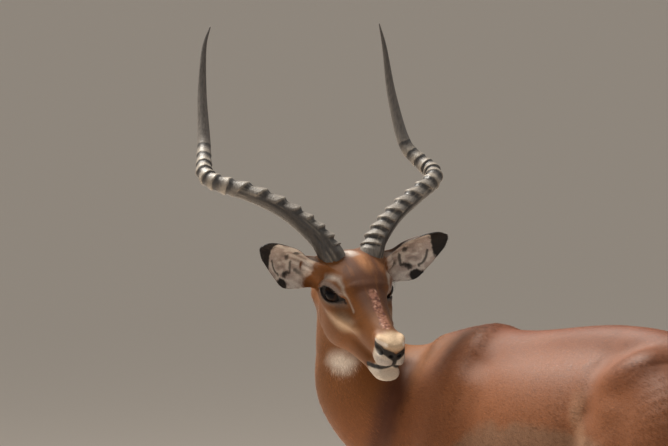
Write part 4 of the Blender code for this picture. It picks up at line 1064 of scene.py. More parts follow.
def object_from(name, points, faces, colours, uv=None, normals=None):
    """A shown piece with its colours, and its places on the bake's map and its normals where it has them."""
    mesh = bpy.data.meshes.new(name)
    mesh.vertices.add(len(points))
    mesh.vertices.foreach_set("co", np.ascontiguousarray(points, np.float32).ravel())
    mesh.loops.add(faces.size)
    mesh.loops.foreach_set("vertex_index", np.ascontiguousarray(faces, np.int32).ravel())
    mesh.polygons.add(len(faces))
    mesh.polygons.foreach_set("loop_start", np.arange(0, faces.size, faces.shape[1], dtype=np.int32))
    mesh.update(calc_edges=True)
    dress(mesh, colours)
    if uv is not None:
        layer = mesh.uv_layers.new(name="OFBake")
        layer.uv.foreach_set("vector", uv[faces.ravel()].astype(np.float32).ravel())
    mesh.shade_smooth()
    if normals is not None:
        mesh.normals_split_custom_set_from_vertices(normals.astype(np.float32))
    return add_object(name, mesh)


def closed_tube_faces(rows, sides):
    """Triangles of a tube made of rows of points, closed by fans on two last points, one for each end."""
    i, j = np.meshgrid(np.arange(rows - 1), np.arange(sides), indexing="ij")
    a, b = (i * sides + j).ravel(), (i * sides + (j + 1) % sides).ravel()
    k, first = np.arange(sides), rows * sides
    top = first - sides
    return np.concatenate([np.stack([a, b, b + sides], 1), np.stack([a, b + sides, a + sides], 1),
                           np.stack([(k + 1) % sides, k, np.full(sides, first)], 1),
                           np.stack([top + k, top + (k + 1) % sides, np.full(sides, first + 1)], 1)])


def dress(mesh, colours):
    layer = mesh.color_attributes.new("markings", "FLOAT_COLOR", "POINT")
    rgba = np.hstack([np.clip(colours, 0, 1), np.ones((len(colours), 1))])
    layer.data.foreach_set("color", rgba.astype(np.float32).ravel())


def wear(obj, material):
    obj.data.materials.clear()
    obj.data.materials.append(material)


NOISE_LOW, NOISE_HIGH = 0.3, 0.7  # between which a noise texture mostly keeps


class Shader:
    """A material on the points' own colours, with noise in its colour, roughness and relief."""
    def __init__(self, name, roughness, **sockets):
        self.material = bpy.data.materials.new(name)
        self.material.use_nodes = True
        self.tree = self.material.node_tree
        self.shader = self.tree.nodes["Principled BSDF"]
        self.shader.inputs["Roughness"].default_value = roughness
        for socket, value in sockets.items():
            self.shader.inputs[socket.replace("_", " ")].default_value = value
        attribute = self.tree.nodes.new("ShaderNodeAttribute")
        attribute.attribute_name = "markings"
        self.colour = attribute.outputs["Color"]
        self.tree.links.new(self.colour, self.shader.inputs["Base Color"])

    def node(self, kind, inputs=(), **settings):
        made = self.tree.nodes.new(kind)
        for name, value in settings.items():
            setattr(made, name, value)
        for name, value in dict(inputs).items():
            if isinstance(value, bpy.types.NodeSocket):
                self.tree.links.new(value, made.inputs[name])
            else:
                made.inputs[name].default_value = value
        return made

    def noise(self, scale, stretch=(1, 1, 1), detail=3.0):
        place = self.node("ShaderNodeTexCoord").outputs["Object"]
        turned = self.node("ShaderNodeMapping", {"Vector": place, "Scale": stretch}).outputs["Vector"]
        made = self.node("ShaderNodeTexNoise", {"Vector": turned, "Scale": scale, "Detail": detail})
        return made.outputs["Fac"]

    def between(self, value, low, high):
        made = self.node("ShaderNodeMapRange", {"Value": value, "From Min": NOISE_LOW,
                                                "From Max": NOISE_HIGH, "To Min": low, "To Max": high})
        return made.outputs["Result"]

    def vary(self, value, low, high):
        """Scales the colour between low and high by a noise value."""
        scaled = self.node("ShaderNodeVectorMath", operation="SCALE")
        self.tree.links.new(self.colour, scaled.inputs[0])
        self.tree.links.new(self.between(value, low, high), scaled.inputs["Scale"])
        self.colour = scaled.outputs["Vector"]
        self.tree.links.new(self.colour, self.shader.inputs["Base Color"])

    def relief(self, value, distance, strength):
        bump = self.node("ShaderNodeBump", {"Height": value, "Distance": distance, "Strength": strength})
        self.tree.links.new(bump.outputs["Normal"], self.shader.inputs["Normal"])

    def rough(self, value, low, high):
        self.tree.links.new(self.between(value, low, high), self.shader.inputs["Roughness"])


def coat_material():
    made = Shader("coat", 0.50, Specular_IOR_Level=0.22, Sheen_Weight=0.04, Sheen_Roughness=0.4)
    fine = made.noise(700.0, (0.35, 1, 1))
    made.vary(made.noise(260.0), 0.82, 1.16)
    made.relief(fine, 0.0003, 0.5)
    return made.material


def skin_material():
    made = Shader("skin", 0.6, Specular_IOR_Level=0.2, Sheen_Weight=0.02)
    fine = made.noise(900.0, (0.5, 1, 1))
    made.vary(fine, 0.75, 1.15)
    made.relief(fine, 0.0007, 0.8)
    return made.material


def horn_material():
    made = Shader("horn", 0.5, Specular_IOR_Level=0.4)
    grain = made.noise(420.0, (1, 1, 0.25), 5.0)
    made.vary(grain, 0.65, 1.25)
    made.rough(grain, 0.38, 0.66)
    made.relief(grain, 0.0008, 0.7)
    return made.material


def eye_material():
    made = Shader("eye", 0.06, Specular_IOR_Level=0.04)
    made.vary(made.noise(500.0), 0.7, 1.3)
    return made.material


def hoof_material():
    made = Shader("hoof", 0.45, Specular_IOR_Level=0.4)
    grain = made.noise(300.0, (1, 1, 0.2), 4.0)
    made.vary(grain, 0.6, 1.4)
    made.rough(grain, 0.35, 0.6)
    made.relief(grain, 0.0005, 0.6)
    return made.material


# -------------------- tufts

class Skin:
    """The finished skin's arrays, for what grows on it."""
    def __init__(self, mesh, colours, weight, lie, sizes):
        self.points, self.normals = vertex_array(mesh), vertex_array(mesh, "normal")
        self.faces = triangle_array(mesh)
        self.colours, self.weight, self.lie, self.sizes = colours, weight, lie, sizes
        a, b, c = (self.points[self.faces[:, i]] for i in range(3))
        self.area = np.linalg.norm(np.cross(b - a, c - a), axis=1) / 2

    def scatter(self, rng, density):
        """Random places on the skin, so many a square metre on each face: face and its corners' shares."""
        count = np.floor(self.area * density + rng.random(len(self.area))).astype(int)
        face = np.repeat(np.arange(len(self.area)), count)
        r = np.sqrt(rng.random(len(face)))
        t = rng.random(len(face))
        return face, np.stack([1 - r, r * (1 - t), r * t], 1)

    def at(self, values, face, share):
        return sum(values[self.faces[face, i]] * share[:, i, None] for i in range(3))


TUFT_SHADE = 0.24                 # spread of the tufts' brightness
GLINT_SHARE, GLINT = 0.14, 0.90   # how many tips shine, and by how much
TUFT_ON_MAP = (0.0012, 0.003, 0.0004)    # half width, length and thickness on the coat's map


def tufts(root, normal, lie, length, width, lift, colour, segments, rng):
    """Flat three-sided locks that taper to a point: points, faces, colours, map offsets and normals."""
    side = unit_rows(np.cross(normal, lie))
    count = len(root)
    wide, long, thick = TUFT_ON_MAP
    points, colours, offsets, normals = [], [], [], []
    shade = np.clip(1 + TUFT_SHADE * rng.standard_normal(count), 0.50, 1.7)[:, None]
    glint = np.where(rng.random(count) < GLINT_SHARE, GLINT, 0.0)[:, None]
    for j in range(segments + 1):
        t = j / segments
        rise = length * lift * (1.7 * t - 0.7 * t * t)
        middle = root + lie * (length * t)[:, None] + normal * rise[:, None]
        tone = colour * (shade * (0.82 + 0.36 * t) + glint * t)
        half = width * 0.5 * (1 - t) ** 0.6 if j else width * 0.42
        corners = ((-1, 0), (1, 0), (0, 0.45)) if j < segments else ((0, 0),)
        for a, b in corners:
            points.append(middle + side * (half * a)[:, None] + normal * (half * b)[:, None])
            colours.append(tone)
            normals.append(unit_rows(normal + side * (0.35 * a) + lie * (0.25 * t)))
            offsets.append(np.tile((a * wide, (t - 0.5) * long + b * thick), (count, 1)))
    each = len(points)
    faces = [(0, 2, 1)]
    for j in range(segments - 1):
        for i in range(3):
            low, high = 3 * j, 3 * j + 3
            k = (i + 1) % 3
            faces += [(low + i, low + k, high + k), (low + i, high + k, high + i)]
    last = 3 * (segments - 1)
    faces += [(last + i, last + (i + 1) % 3, each - 1) for i in range(3)]
    stack = [np.stack(rows, 1).reshape(-1, rows[0].shape[1]) for rows in (points, colours, offsets, normals)]
    index = (np.arange(count)[:, None, None] * each + np.array(faces)).reshape(-1, 3)
    return stack[0], index, stack[1], stack[2], stack[3]


COAT_PIECES = {"trunk": "coat_trunk", "neck": "coat_neck", "head": "coat_head", "ear": "coat_ears",
               "leg": "coat_legs", "tail": "coat_tail"}
LIFT = 0.055                      # rise of a tuft's tip, as a share of its length
SINK = 0.0004                     # of a tuft's root under the skin
LIE_SPREAD = 0.16                 # of the tufts' ways, sideways
LENGTHS, WIDTHS, LIFTS = (0.75, 1.25), (0.8, 1.2), (0.6, 1.4)    # smallest and largest, as shares
MAP_FACES = 9000                  # of the coarse skin that the coat's map is unwrapped from
PIECE_TUFTS = 45000               # most tufts in one piece
COAT_SEED, LASH_SEED = 100, 5


def bake_map(mesh):
    """An unwrap of the skin's own shape: a coarse copy of it, and the map's place at each of its corners."""
    proxy = add_object("proxy", mesh.copy())
    thin = proxy.modifiers.new("thin", "DECIMATE")
    thin.ratio = MAP_FACES / len(mesh.polygons)
    graph = bpy.context.evaluated_depsgraph_get()
    coarse = bpy.data.meshes.new_from_object(proxy.evaluated_get(graph))
    proxy.modifiers.clear()
    proxy.data = coarse
    bpy.ops.object.select_all(action="DESELECT")
    proxy.select_set(True)
    bpy.context.view_layer.objects.active = proxy
    bpy.ops.object.mode_set(mode="EDIT")
    bpy.ops.mesh.select_all(action="SELECT")
    bpy.ops.mesh.quads_convert_to_tris()
    bpy.ops.uv.smart_project(angle_limit=1.15, island_margin=0.004, scale_to_bounds=True)
    bpy.ops.object.mode_set(mode="OBJECT")
    corners = np.empty(len(coarse.loops) * 2, np.float32)
    coarse.uv_layers.active.uv.foreach_get("vector", corners)
    points, faces = vertex_array(coarse), triangle_array(coarse)
    bpy.data.objects.remove(proxy)
    return points, faces, corners.reshape(-1, 3, 2)


class MapPlaces:
    """Looks up the map's place nearest to a point of the skin."""
    def __init__(self, mesh):
        self.points, self.faces, self.corners = bake_map(mesh)
        self.tree = BVHTree.FromPolygons(self.points.tolist(), self.faces.tolist())

    def __call__(self, p):
        face = np.array([self.tree.find_nearest(Vector(q))[2] for q in p.tolist()])
        a, b, c = (self.points[self.faces[face, i]] for i in range(3))
        u, v, w = b - a, c - a, p - a
        uu, uv, vv, wu, wv = (dot(s, t) for s, t in ((u, u), (u, v), (v, v), (w, u), (w, v)))
        bottom = np.maximum(uu * vv - uv * uv, 1e-18)
        t1 = np.clip((vv * wu - uv * wv) / bottom, 0, 1)
        t2 = np.clip((uu * wv - uv * wu) / bottom, 0, 1 - t1)
        shares = np.stack([1 - t1 - t2, t1, t2], 1)
        return np.einsum("ij,ijk->ik", shares, self.corners[face])


def grow_coat(skin, places):
    """Short tufts all over the skin, in pieces by region."""
    made = []
    for seed, (region, name) in enumerate(COAT_PIECES.items()):
        rng = np.random.default_rng(COAT_SEED + seed)
        spacing = COAT[region][3]
        face, share = skin.scatter(rng, 1 / spacing ** 2)
        belongs = skin.at(skin.weight[region][:, None], face, share)[:, 0]
        chosen = rng.random(len(face)) < belongs
        face, share = face[chosen], share[chosen]
        root, normal, lie = (skin.at(v, face, share) for v in (skin.points, skin.normals, skin.lie))
        colour, sizes = skin.at(skin.colours, face, share), skin.at(skin.sizes, face, share)
        keep = ~bare_places(root, skin.at(skin.weight["head"][:, None], face, share)[:, 0])
        root, normal, lie, colour, sizes = (v[keep] for v in (root, normal, lie, colour, sizes))
        normal = unit_rows(normal)
        side = np.cross(normal, lie)
        lie = unit_rows(lie + side * rng.normal(0, LIE_SPREAD, len(root))[:, None])
        length = sizes[:, 1] * rng.uniform(*LENGTHS, len(root))
        width = sizes[:, 2] * rng.uniform(*WIDTHS, len(root))
        lift = LIFT * rng.uniform(*LIFTS, len(root)) * (0.7 + 3.0 * sizes[:, 0] / sizes[:, 1])
        segments = 3 if region == "tail" else 1
        uv = places(root)
        for part, start in enumerate(range(0, len(root), PIECE_TUFTS)):
            rows = slice(start, start + PIECE_TUFTS)
            points, faces, colours, offsets, normals = tufts(
                root[rows] - normal[rows] * SINK, normal[rows], lie[rows], length[rows], width[rows],
                lift[rows], colour[rows], segments, rng)
            each = len(points) // len(root[rows])
            spots = np.repeat(uv[rows], each, 0) + offsets
            made.append(object_from(f"{name}_{part}", points, faces, colours, spots, normals))
    return made


def bare_places(p, head_weight):
    """Where no hair grows: the eyes' sockets, the nose pad, the nostrils and the lips' line."""
    bare = np.zeros(len(p), bool)
    side = one_side(on_head(p), 1.0)
    f, a, u = side.T
    for s in SIDES:
        out, x, y = in_eye(p, s).T
        bare |= (lid_edge(x, y) < 0.12) & (out > -0.5) & (out < 4)
    bare |= to_line(side, NOSTRIL_LINE) < 0.70
    bare |= (a < 1.1) & (f > 13.8) & (u > -4.2) & (u < -2.6)
    bare |= (a < 0.3) & (f > 14.0) & (u > -5.6) & (u < -3.4)
    bare |= to_line(side, MOUTH) < 0.28
    return bare & (head_weight > 0.3)


# -------------------- eyes

EYE_RINGS, EYE_SIDES = 39, 64
EYEBALL = (0.008, 0.005, 0.004)
IRIS = (0.016, 0.008, 0.005)
PUPIL = (0.003, 0.003, 0.004)
EYE_BORDER = (0.006, 0.005, 0.005)
CORNEA_BULGE = 0.035              # as a share of the eye's radius


def eyeball(name, s):
    """An eye with a bulging cornea, a dark iris and a level pupil."""
    axes = eye_axes(s)
    # rings round the way the eye looks, and a point before the first and behind the last
    tilt = np.repeat(np.arange(1, EYE_RINGS + 1) * math.pi / (EYE_RINGS + 1), EYE_SIDES)
    turn = np.tile(np.arange(EYE_SIDES) * 2 * math.pi / EYE_SIDES, EYE_RINGS)
    out = np.append(np.cos(tilt), (1, -1))
    along = np.append(np.sin(tilt) * np.cos(turn), (0, 0))
    up = np.append(np.sin(tilt) * np.sin(turn), (0, 0))
    off = np.hypot(along, up)
    bulge = 1 + CORNEA_BULGE * ramp(off, 0.62, 0.2) * (out > 0)
    points = eye_centre(s) + (np.stack([out, along, up], 1) * (EYE_RADIUS * CM) * bulge[:, None]) @ axes
    paint = Paint(EYEBALL, len(points))
    paint.over(IRIS, ramp(off, 0.40, 0.50) * ramp(off, 0.66, 0.58) * (out > 0))
    slot = np.maximum(np.abs(along) / 0.46, np.abs(up) / 0.22)
    paint.over(PUPIL, ramp(slot, 1.1, 0.9) * (out > 0))
    paint.over(EYE_BORDER, ramp(off, 0.66, 0.72))
    faces = closed_tube_faces(EYE_RINGS, EYE_SIDES)
    # the axes of the two eyes are mirror images, so one eye's faces would point inwards
    if np.linalg.det(axes) > 0:
        faces = faces[:, ::-1]
    return object_from(name, points, faces, paint.rgb)


LASHES_NEAR, LASHES_FAR = 34, 24  # of the right eye and of the left
LASHES = LASHES_NEAR + LASHES_FAR
LASH_LENGTHS, LASH_WIDTH, LASH_LIFT = (0.0045, 0.0075), 0.0005, 0.10


def eyelashes(rng):
    """Dark lashes that stand out from the upper lids."""
    roots, ways, normals = [], [], []
    for s in SIDES:
        look, nose, across = eye_axes(s)
        for x in np.linspace(-1.7, 1.7, LASHES_NEAR if s < 0 else LASHES_FAR):
            y = np.linspace(0.2, 2.2, 200)
            y = y[np.argmin(np.abs(lid_edge(np.full(200, x), y) - 0.06))]
            r2 = 2.45 ** 2 - 0.72 * x * x - y * y
            roots.append(eye_centre(s) + CM * (x * nose + y * across + math.sqrt(max(r2, 1.0)) * 0.90 * look))
            ways.append(unit(0.95 * look + 0.30 * across + (0.12 * x - 0.25) * nose))
            normals.append(across)
    roots, ways, normals = (np.array(v) for v in (roots, ways, normals))
    normals = unit_rows(off_axis(normals, ways))
    count = len(roots)
    return tufts(roots, normals, ways, rng.uniform(*LASH_LENGTHS, count), np.full(count, LASH_WIDTH),
                 np.full(count, LASH_LIFT), np.tile(BLACK, (count, 1)), 3, rng)


# -------------------- horns and hooves

# forward, out, up and radius of each horn's middle line: the pair isn't quite alike
HORNS = {
    1.0: [(-5.2, 3.4, 3.8, 2.0), (-7.4, 5.1, 5.5, 1.75), (-11.0, 9.2, 7.4, 1.5), (-14.6, 14.1, 8.6, 1.42),
          (-18.2, 18.9, 9.4, 1.36), (-21.0, 20.0, 9.7, 1.34), (-23.6, 19.2, 10.0, 1.27),
          (-27.3, 17.6, 11.7, 1.05), (-32.4, 16.6, 17.8, 0.74), (-36.0, 15.8, 24.7, 0.38),
          (-37.2, 14.8, 28.5, 0.08)],
    -1.0: [(-5.2, 3.4, 4.0, 2.05), (-7.9, 5.1, 6.4, 1.85), (-11.9, 9.2, 9.1, 1.55), (-15.7, 14.0, 10.6, 1.42),
           (-19.0, 18.6, 11.05, 1.36), (-21.6, 19.7, 11.4, 1.33), (-24.6, 18.8, 12.1, 1.22),
           (-28.5, 17.5, 14.1, 1.02), (-33.4, 16.6, 19.7, 0.73), (-36.7, 15.8, 26.1, 0.38),
           (-37.7, 14.8, 29.4, 0.08)]}
RINGED_SIDE = (-0.09, -0.42, 0.90)    # forward, out and up: where the rings stand highest
# how far round the rings reach: the cosine of their edge's angle, at places along each horn
RINGED_REACH = (0.0, 0.08, 0.15, 0.20)
RINGED_EDGE = {-1.0: (0.80, 0.55, 0.05, -0.30), 1.0: (0.35, 0.15, -0.05, -0.30)}
FIRST_RING = 0.9                  # cm from the base
RING_GAPS = ((0, 6, 8, 10, 14), (1.3, 3.0, 2.9, 1.5, 2.2))    # a ring's number, and the gap before it
BEND = (0.180, 0.215)             # metres along the horn, where the rings come to run all round
RING_FOOT = 0.74                  # lowest place between two rings, as a share of the way
RING_MEAN = 0.45                  # height where a ring neither adds to the horn nor takes away
BEFORE_RINGS, PAST_RINGS = 0.010, 0.035
HORN_SIDES, HORN_ROWS = 48, 560
HORN_ROOT = (1.0, -0.8, -1.8)     # from a horn's first row to its end under the hair
HORN_GREY = (0.108, 0.096, 0.086)
HORN_BROWN = (0.036, 0.029, 0.024)
HORN_PALE = (0.270, 0.232, 0.188)
HORN_DARK = (0.038, 0.036, 0.036)


def ring_places():
    """Distance of each ring from the horn's base."""
    gaps = np.interp(np.arange(1, RING_GAPS[0][-1] + 1), *RING_GAPS)
    return (FIRST_RING + np.concatenate([[0.0], np.cumsum(gaps)])) * CM


def ring_profile(run, angle, s):
    """Height of the rings at places along and round the horn, from 0 to 1, and each place's share of the way
    from the ring below it to the ring above it."""
    rings = ring_places()
    gaps = np.append(np.diff(rings), 0.030)
    straight = ramp(run, *BEND)
    # before the bend each ring sweeps towards the tip as it leaves the ringed side
    i = np.clip(np.searchsorted(rings, run) - 1, 0, len(rings) - 1)
    sweep = (1 - np.cos(angle)) * np.minimum(0.42 * gaps[i], 0.012) * (1 - straight)
    ripple = (noise(np.stack([run * 30, np.cos(angle) * 2 + s, np.sin(angle) * 2], 1), 1.0) - 0.5) * 0.0035
    at = run - sweep + ripple
    i = np.searchsorted(rings, at) - 1
    below = np.where(i >= 0, rings[np.clip(i, 0, None)], rings[0] - BEFORE_RINGS)
    above = np.where(i + 1 < len(rings), rings[np.clip(i + 1, 0, len(rings) - 1)], rings[-1] + PAST_RINGS)
    share = np.clip((at - below) / (above - below), 0, 1)
    fall = np.clip(1 - share / RING_FOOT, 0, 1) ** 1.25
    rise = np.clip((share - RING_FOOT) / (1 - RING_FOOT), 0, 1) ** 1.3
    fall = np.where(i < 0, 0.0, fall)
    rise = np.where(i + 1 >= len(rings), 0.0, rise)
    flat = np.where((i < 0) | (i + 1 >= len(rings)), RING_MEAN, 0.0)
    return np.maximum(np.maximum(fall, rise), flat), share


def horn_course(s):
    """A horn's rows: how far along each lies, its middle and radius, and two directions across it, the first
    towards the side where the rings stand highest."""
    rows = spline(HORNS[s], 12)
    line, radii = EYE_MIDDLE + CM * flipped(rows[:, :3], s) @ HEAD, rows[:, 3] * CM
    # the base goes on down into the hair
    root = CM * flipped(HORN_ROOT, s) @ HEAD
    line, radii = np.vstack([line[0] + root, line]), np.append(radii[0], radii)
    lengths = np.linalg.norm(np.diff(line, axis=0), axis=1)
    run = np.append(0.0, np.cumsum(lengths)) - np.linalg.norm(root)
    at = np.linspace(run[0], run[-1], HORN_ROWS)
    middle = np.stack([np.interp(at, run, c) for c in line.T], 1)
    tangent = unit_rows(np.stack([np.interp(at, run, c) for c in np.gradient(line, run, axis=0).T], 1))
    x = np.tile(flipped(RINGED_SIDE, s) @ HEAD, (HORN_ROWS, 1))
    x = unit_rows(off_axis(x, tangent))
    return at, middle, np.interp(at, run, radii), x, np.cross(tangent, x)


def horn(name, s):
    """A horn with its rings, its long crack and its fine ones."""
    at, middle, radii, x, y = horn_course(s)
    angle = np.tile(np.arange(HORN_SIDES) * 2 * math.pi / HORN_SIDES, HORN_ROWS)
    d = np.repeat(at, HORN_SIDES)
    height, share = ring_profile(d, angle, s)
    bent = ramp(d, *BEND)
    edge = np.interp(d, RINGED_REACH, RINGED_EDGE[s])
    around = np.maximum(ramp(np.cos(angle), edge - 0.15, edge + 0.20), bent)
    last = ring_places()[-1]
    strength = around * (0.30 * (1 - bent) + 0.20 * bent) * ramp(d, last + 0.03, last - 0.09)
    grain = noise(np.stack([d * 14, np.cos(angle) * 3.2, np.sin(angle) * 3.2 + s * 5], 1), 1.0)
    fine = noise(np.stack([d * 45, np.cos(angle) * 11, np.sin(angle) * 11 + s * 5], 1), 1.0)
    side = np.abs((angle + math.pi) % (2 * math.pi) - math.pi)
    crack = ramp(np.abs(side - 1.60 - (grain - 0.5) * 0.5), 0.15, 0.04) * ramp(d, 0.17, 0.12)
    cracks = ramp(fine, 0.42, 0.26) * (1 - around) * ramp(d, 0.22, 0.05)
    radius = np.repeat(radii, HORN_SIDES)
    swell = strength * (height - RING_MEAN) - 0.09 * crack - 0.03 * cracks + 0.02 * (grain - 0.5)
    ring = (radius * (1 + swell)).reshape(HORN_ROWS, HORN_SIDES, 1)
    points = middle[:, None] + ring * (np.cos(angle).reshape(HORN_ROWS, -1, 1) * x[:, None]
                                       + np.sin(angle).reshape(HORN_ROWS, -1, 1) * y[:, None])
    paint = Paint(HORN_GREY, d.size)
    paint.over(HORN_BROWN, (1 - around) * 0.85)
    # painted highlight: the rings' crests and the slopes on their tip side are lighter
    paint.over(HORN_PALE, around * ramp(share, 0.58, 0.20) * ramp(d, last + 0.02, last - 0.05)
               * (0.20 + 0.50 * bent))
    paint.over(HORN_PALE, around * ramp(share, 0.90, 0.97) * ramp(d, last + 0.01, last - 0.02) * 0.8)
    # painted shade in the hollows between the rings, darkest on the faces that turn towards the base
    hollow = around * ramp(share, 0.50, 0.66) * ramp(share, 0.96, 0.88) * ramp(d, last + 0.01, last)
    paint.over(HORN_BROWN, hollow * (1 - 0.3 * bent))
    paint.over(HORN_DARK, hollow * ramp(share, 0.62, 0.80) * 0.85)
    paint.over(HORN_PALE, ramp(fine, 0.62, 0.85) * (1 - bent) * 0.35)
    paint.over(HORN_DARK, ramp(d, last + 0.01, last + 0.22) * 0.75)
    paint.over(BLACK, crack * 0.85)
    paint.over(HORN_DARK, cracks * 0.7)
    points = np.vstack([points.reshape(-1, 3), middle[0], middle[-1]])
    colours = np.vstack([paint.rgb, HORN_GREY, HORN_DARK])
    return object_from(name, points, closed_tube_faces(HORN_ROWS, HORN_SIDES), colours)


HOOF_BROWN = (0.075, 0.060, 0.050)
HOOF_EDGE = 0.0012                # of the bevel
HOOF_SHARP = 0.9                  # radians between faces, from which an edge is bevelled


def hoof(name, node):
    """The CAD's claw with rounded edges."""
    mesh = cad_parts[node].data.copy()
    obj = add_object(name, mesh)
    bm = bmesh.new()
    bm.from_mesh(mesh)
    bmesh.ops.remove_doubles(bm, verts=bm.verts[:], dist=1e-5)
    bmesh.ops.dissolve_limit(bm, angle_limit=0.02, verts=bm.verts[:], edges=bm.edges[:])
    sharp = [edge for edge in bm.edges if len(edge.link_faces) == 2 and edge.calc_face_angle() > HOOF_SHARP]
    bmesh.ops.bevel(bm, geom=sharp, offset=HOOF_EDGE, segments=3, profile=0.5, affect="EDGES",
                    clamp_overlap=True)
    bm.to_mesh(mesh)
    bm.free()
    mesh.shade_smooth()
    points = vertex_array(mesh)
    paint = Paint(BLACK, len(points))
    paint.over(HOOF_BROWN, noise(points, 0.006) * ramp(points[:, 2], 0.0, 0.03))
    dress(mesh, paint.rgb)
    return obj


# -------------------- the model

FLESH = ["trunk", "neck", "head", "ear_left", "ear_right", "tail",
         "foreleg_upper_left", "foreleg_upper_right", "foreleg_lower_left", "foreleg_lower_right",
         "hindleg_upper_left", "hindleg_upper_right", "hindleg_lower_left", "hindleg_lower_right"]
EAR_SHELLS = {-1.0: EARS[1], 1.0: EARS[3]}
ROOT_ROUNDS, LIE_ROUNDS = 40, 24  # of smoothing, at the neck's root and for the lie of the hair


def shift_to_frame():
    """From the anatomy's own place to the CAD's."""
    low, high = (np.array(corner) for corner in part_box("eye_left"))
    return (low + high) / 2 - eye_centre(1.0)


def place(obj, slot, *nodes):
    obj.data.transform(Matrix.Translation(shift_to_frame()))
    finish_piece(obj, slot, *nodes)


def finish_piece(obj, slot, *nodes):
    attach(obj, "root")
    if nodes:
        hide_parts(*nodes)


def evened(values, faces, share, rounds):
    """Moves each point's values towards its neighbours' mean."""
    here, there = faces.ravel(), faces[:, [1, 2, 0]].ravel()
    count = np.maximum(np.bincount(here, minlength=len(values)), 1)
    for _ in range(rounds):
        mean = np.stack([np.bincount(here, v[there], len(values)) / count for v in values.T], 1)
        values = values + (mean - values) * (0.5 * share)[:, None]
    return values


def build_skin():
    mesh = skin_surface()
    points, normals = vertex_array(mesh), vertex_array(mesh, "normal")
    points -= normals * form(points, EVERYTHING)[:, None]
    weight = region_weights(points)
    # the root of the neck runs smoothly into the shoulders
    x, _, z = points.T
    root = ramp(x, -0.40, -0.35) * ramp(x, -0.15, -0.21) * ramp(z, 0.64, 0.70)
    root *= weight["trunk"] + weight["neck"]
    points = evened(points, triangle_array(mesh), np.clip(root * 1.5, 0, 1), ROOT_ROUNDS)
    normals = move_points(mesh, points)
    sizes = coat_sizes(points, weight)
    eye = np.minimum(*[np.linalg.norm(points - eye_centre(s), axis=1) for s in SIDES])
    inset = sizes[:, 0] * (0.3 + 0.7 * ramp(eye, 0.024, 0.034)) + fold_depth(points)
    colours = markings(points, normals, weight)
    points -= normals * inset[:, None]
    normals = move_points(mesh, points)
    lie = evened(lie_of_coat(points, normals, weight), triangle_array(mesh), np.ones(len(points)), LIE_ROUNDS)
    lie = off_axis(lie, normals)
    dress(mesh, colours)
    mesh.shade_smooth()
    return add_object("skin", mesh), Skin(mesh, colours, weight, lie, sizes)


def build_model():
    makers = (coat_material, skin_material, horn_material, eye_material, hoof_material)
    coat, skin_look, horn_look, eye_look, hoof_look = (make() for make in makers)
    skin, arrays = build_skin()
    wear(skin, skin_look)
    points, faces, colours, offsets, _ = eyelashes(np.random.default_rng(LASH_SEED))
    lashes_map = None
    places = MapPlaces(skin.data)
    for piece in grow_coat(arrays, places):
        wear(piece, coat)
        place(piece, "coat")
    each = len(points) // LASHES
    roots = points.reshape(LASHES, each, 3)[:, :3].mean(1)
    lashes_map = np.repeat(places(roots), each, 0) + offsets
    lashes = object_from("eyelashes", points, faces, colours, lashes_map)
    wear(lashes, coat)
    place(lashes, "coat")
    place(skin, "coat", *FLESH)
    for name, s in (("left", 1.0), ("right", -1.0)):
        eye = eyeball(f"eyeball_{name}", s)
        wear(eye, eye_look)
        place(eye, "eye", f"eye_{name}")
        made = horn(f"ringed_horn_{name}", s)
        wear(made, horn_look)
        place(made, "horn", f"horn_{name}")
    for node in sorted(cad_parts):
        if node.startswith("hoof_"):
            made = hoof(node.replace("hoof_", "claw_"), node)
            wear(made, hoof_look)
            finish_piece(made, "hoof", node)


# -------------------- studio

CAMERA_AZIMUTH, CAMERA_ELEVATION = 50.0, 3.0
CAMERA_TARGET = (-0.3219, -0.2291, 1.0554)     # in the anatomy's place
CAMERA_DISTANCE = 14.0
PICTURE_WIDTH = 1.0603            # metres across at the target
SENSOR = 36.0
# azimuth, elevation, distance, width, power and colour of the lights
LIGHTS = {"key": (281, 58, 4.5, 1.8, 520, (1.0, 0.95, 0.87)),
          "fill": (30, 25, 5.0, 3.0, 28, (0.98, 0.98, 1.0)),
          "rim": (150, 45, 5.0, 2.0, 30, (1.0, 0.96, 0.90))}
LIT_MIDDLE = (0, 0, 0.75)
WORLD_COLOUR, WORLD_STRENGTH = (0.92, 0.90, 0.86, 1), 0.34
FLOOR_COLOUR, FLOOR_ROUGHNESS = (0.86, 0.76, 0.66, 1), 0.9
FLOOR_HALF = 120.0


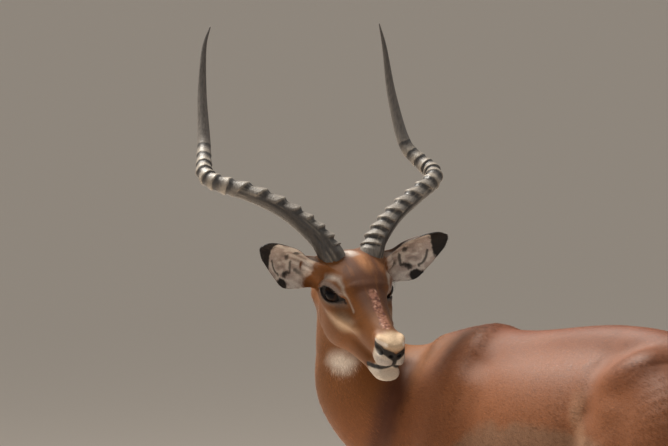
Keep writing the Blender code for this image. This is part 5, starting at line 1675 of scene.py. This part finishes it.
def way_to(azimuth, elevation):
    """Towards a place round the object: azimuth 0 is -Y and 90 is +X."""
    a, e = math.radians(azimuth), math.radians(elevation)
    return Vector((math.sin(a) * math.cos(e), -math.cos(a) * math.cos(e), math.sin(e)))


def add_camera():
    data = bpy.data.cameras.new("camera")
    camera = add_object("camera", data)
    back = way_to(CAMERA_AZIMUTH, CAMERA_ELEVATION)
    camera.location = Vector(CAMERA_TARGET) + Vector(shift_to_frame()) + back * CAMERA_DISTANCE
    camera.rotation_mode = "QUATERNION"
    camera.rotation_quaternion = (-back).to_track_quat("-Z", "Y")
    data.sensor_width = SENSOR
    data.lens = SENSOR * CAMERA_DISTANCE / PICTURE_WIDTH
    data.clip_end = 300.0
    bpy.context.scene.camera = camera


def add_light(name, azimuth, elevation, distance, size, power, colour):
    data = bpy.data.lights.new(name, "AREA")
    data.shape = "DISK"
    data.size = size
    data.energy = power
    data.color = colour
    light = add_object(name, data)
    way = way_to(azimuth, elevation)
    light.location = Vector(LIT_MIDDLE) + way * distance
    light.rotation_mode = "QUATERNION"
    light.rotation_quaternion = way.to_track_quat("Z", "Y")
    light.visible_camera = False


def add_studio():
    scene = bpy.context.scene
    scene.view_settings.view_transform = "Standard"
    world = bpy.data.worlds.new("studio")
    world.use_nodes = True
    background = world.node_tree.nodes["Background"]
    background.inputs["Color"].default_value = WORLD_COLOUR
    background.inputs["Strength"].default_value = WORLD_STRENGTH
    scene.world = world
    for name, settings in LIGHTS.items():
        add_light(name, *settings)
    mesh = bpy.data.meshes.new("floor")
    corners = [(x * FLOOR_HALF, y * FLOOR_HALF, 0) for x, y in ((-1, -1), (1, -1), (1, 1), (-1, 1))]
    mesh.from_pydata(corners, [], [(0, 1, 2, 3)])
    floor = add_object("floor", mesh)
    material = bpy.data.materials.new("floor")
    material.use_nodes = True
    shader = material.node_tree.nodes["Principled BSDF"]
    shader.inputs["Base Color"].default_value = FLOOR_COLOUR
    shader.inputs["Roughness"].default_value = FLOOR_ROUGHNESS
    mesh.materials.append(material)


build_model()
add_camera()
add_studio()
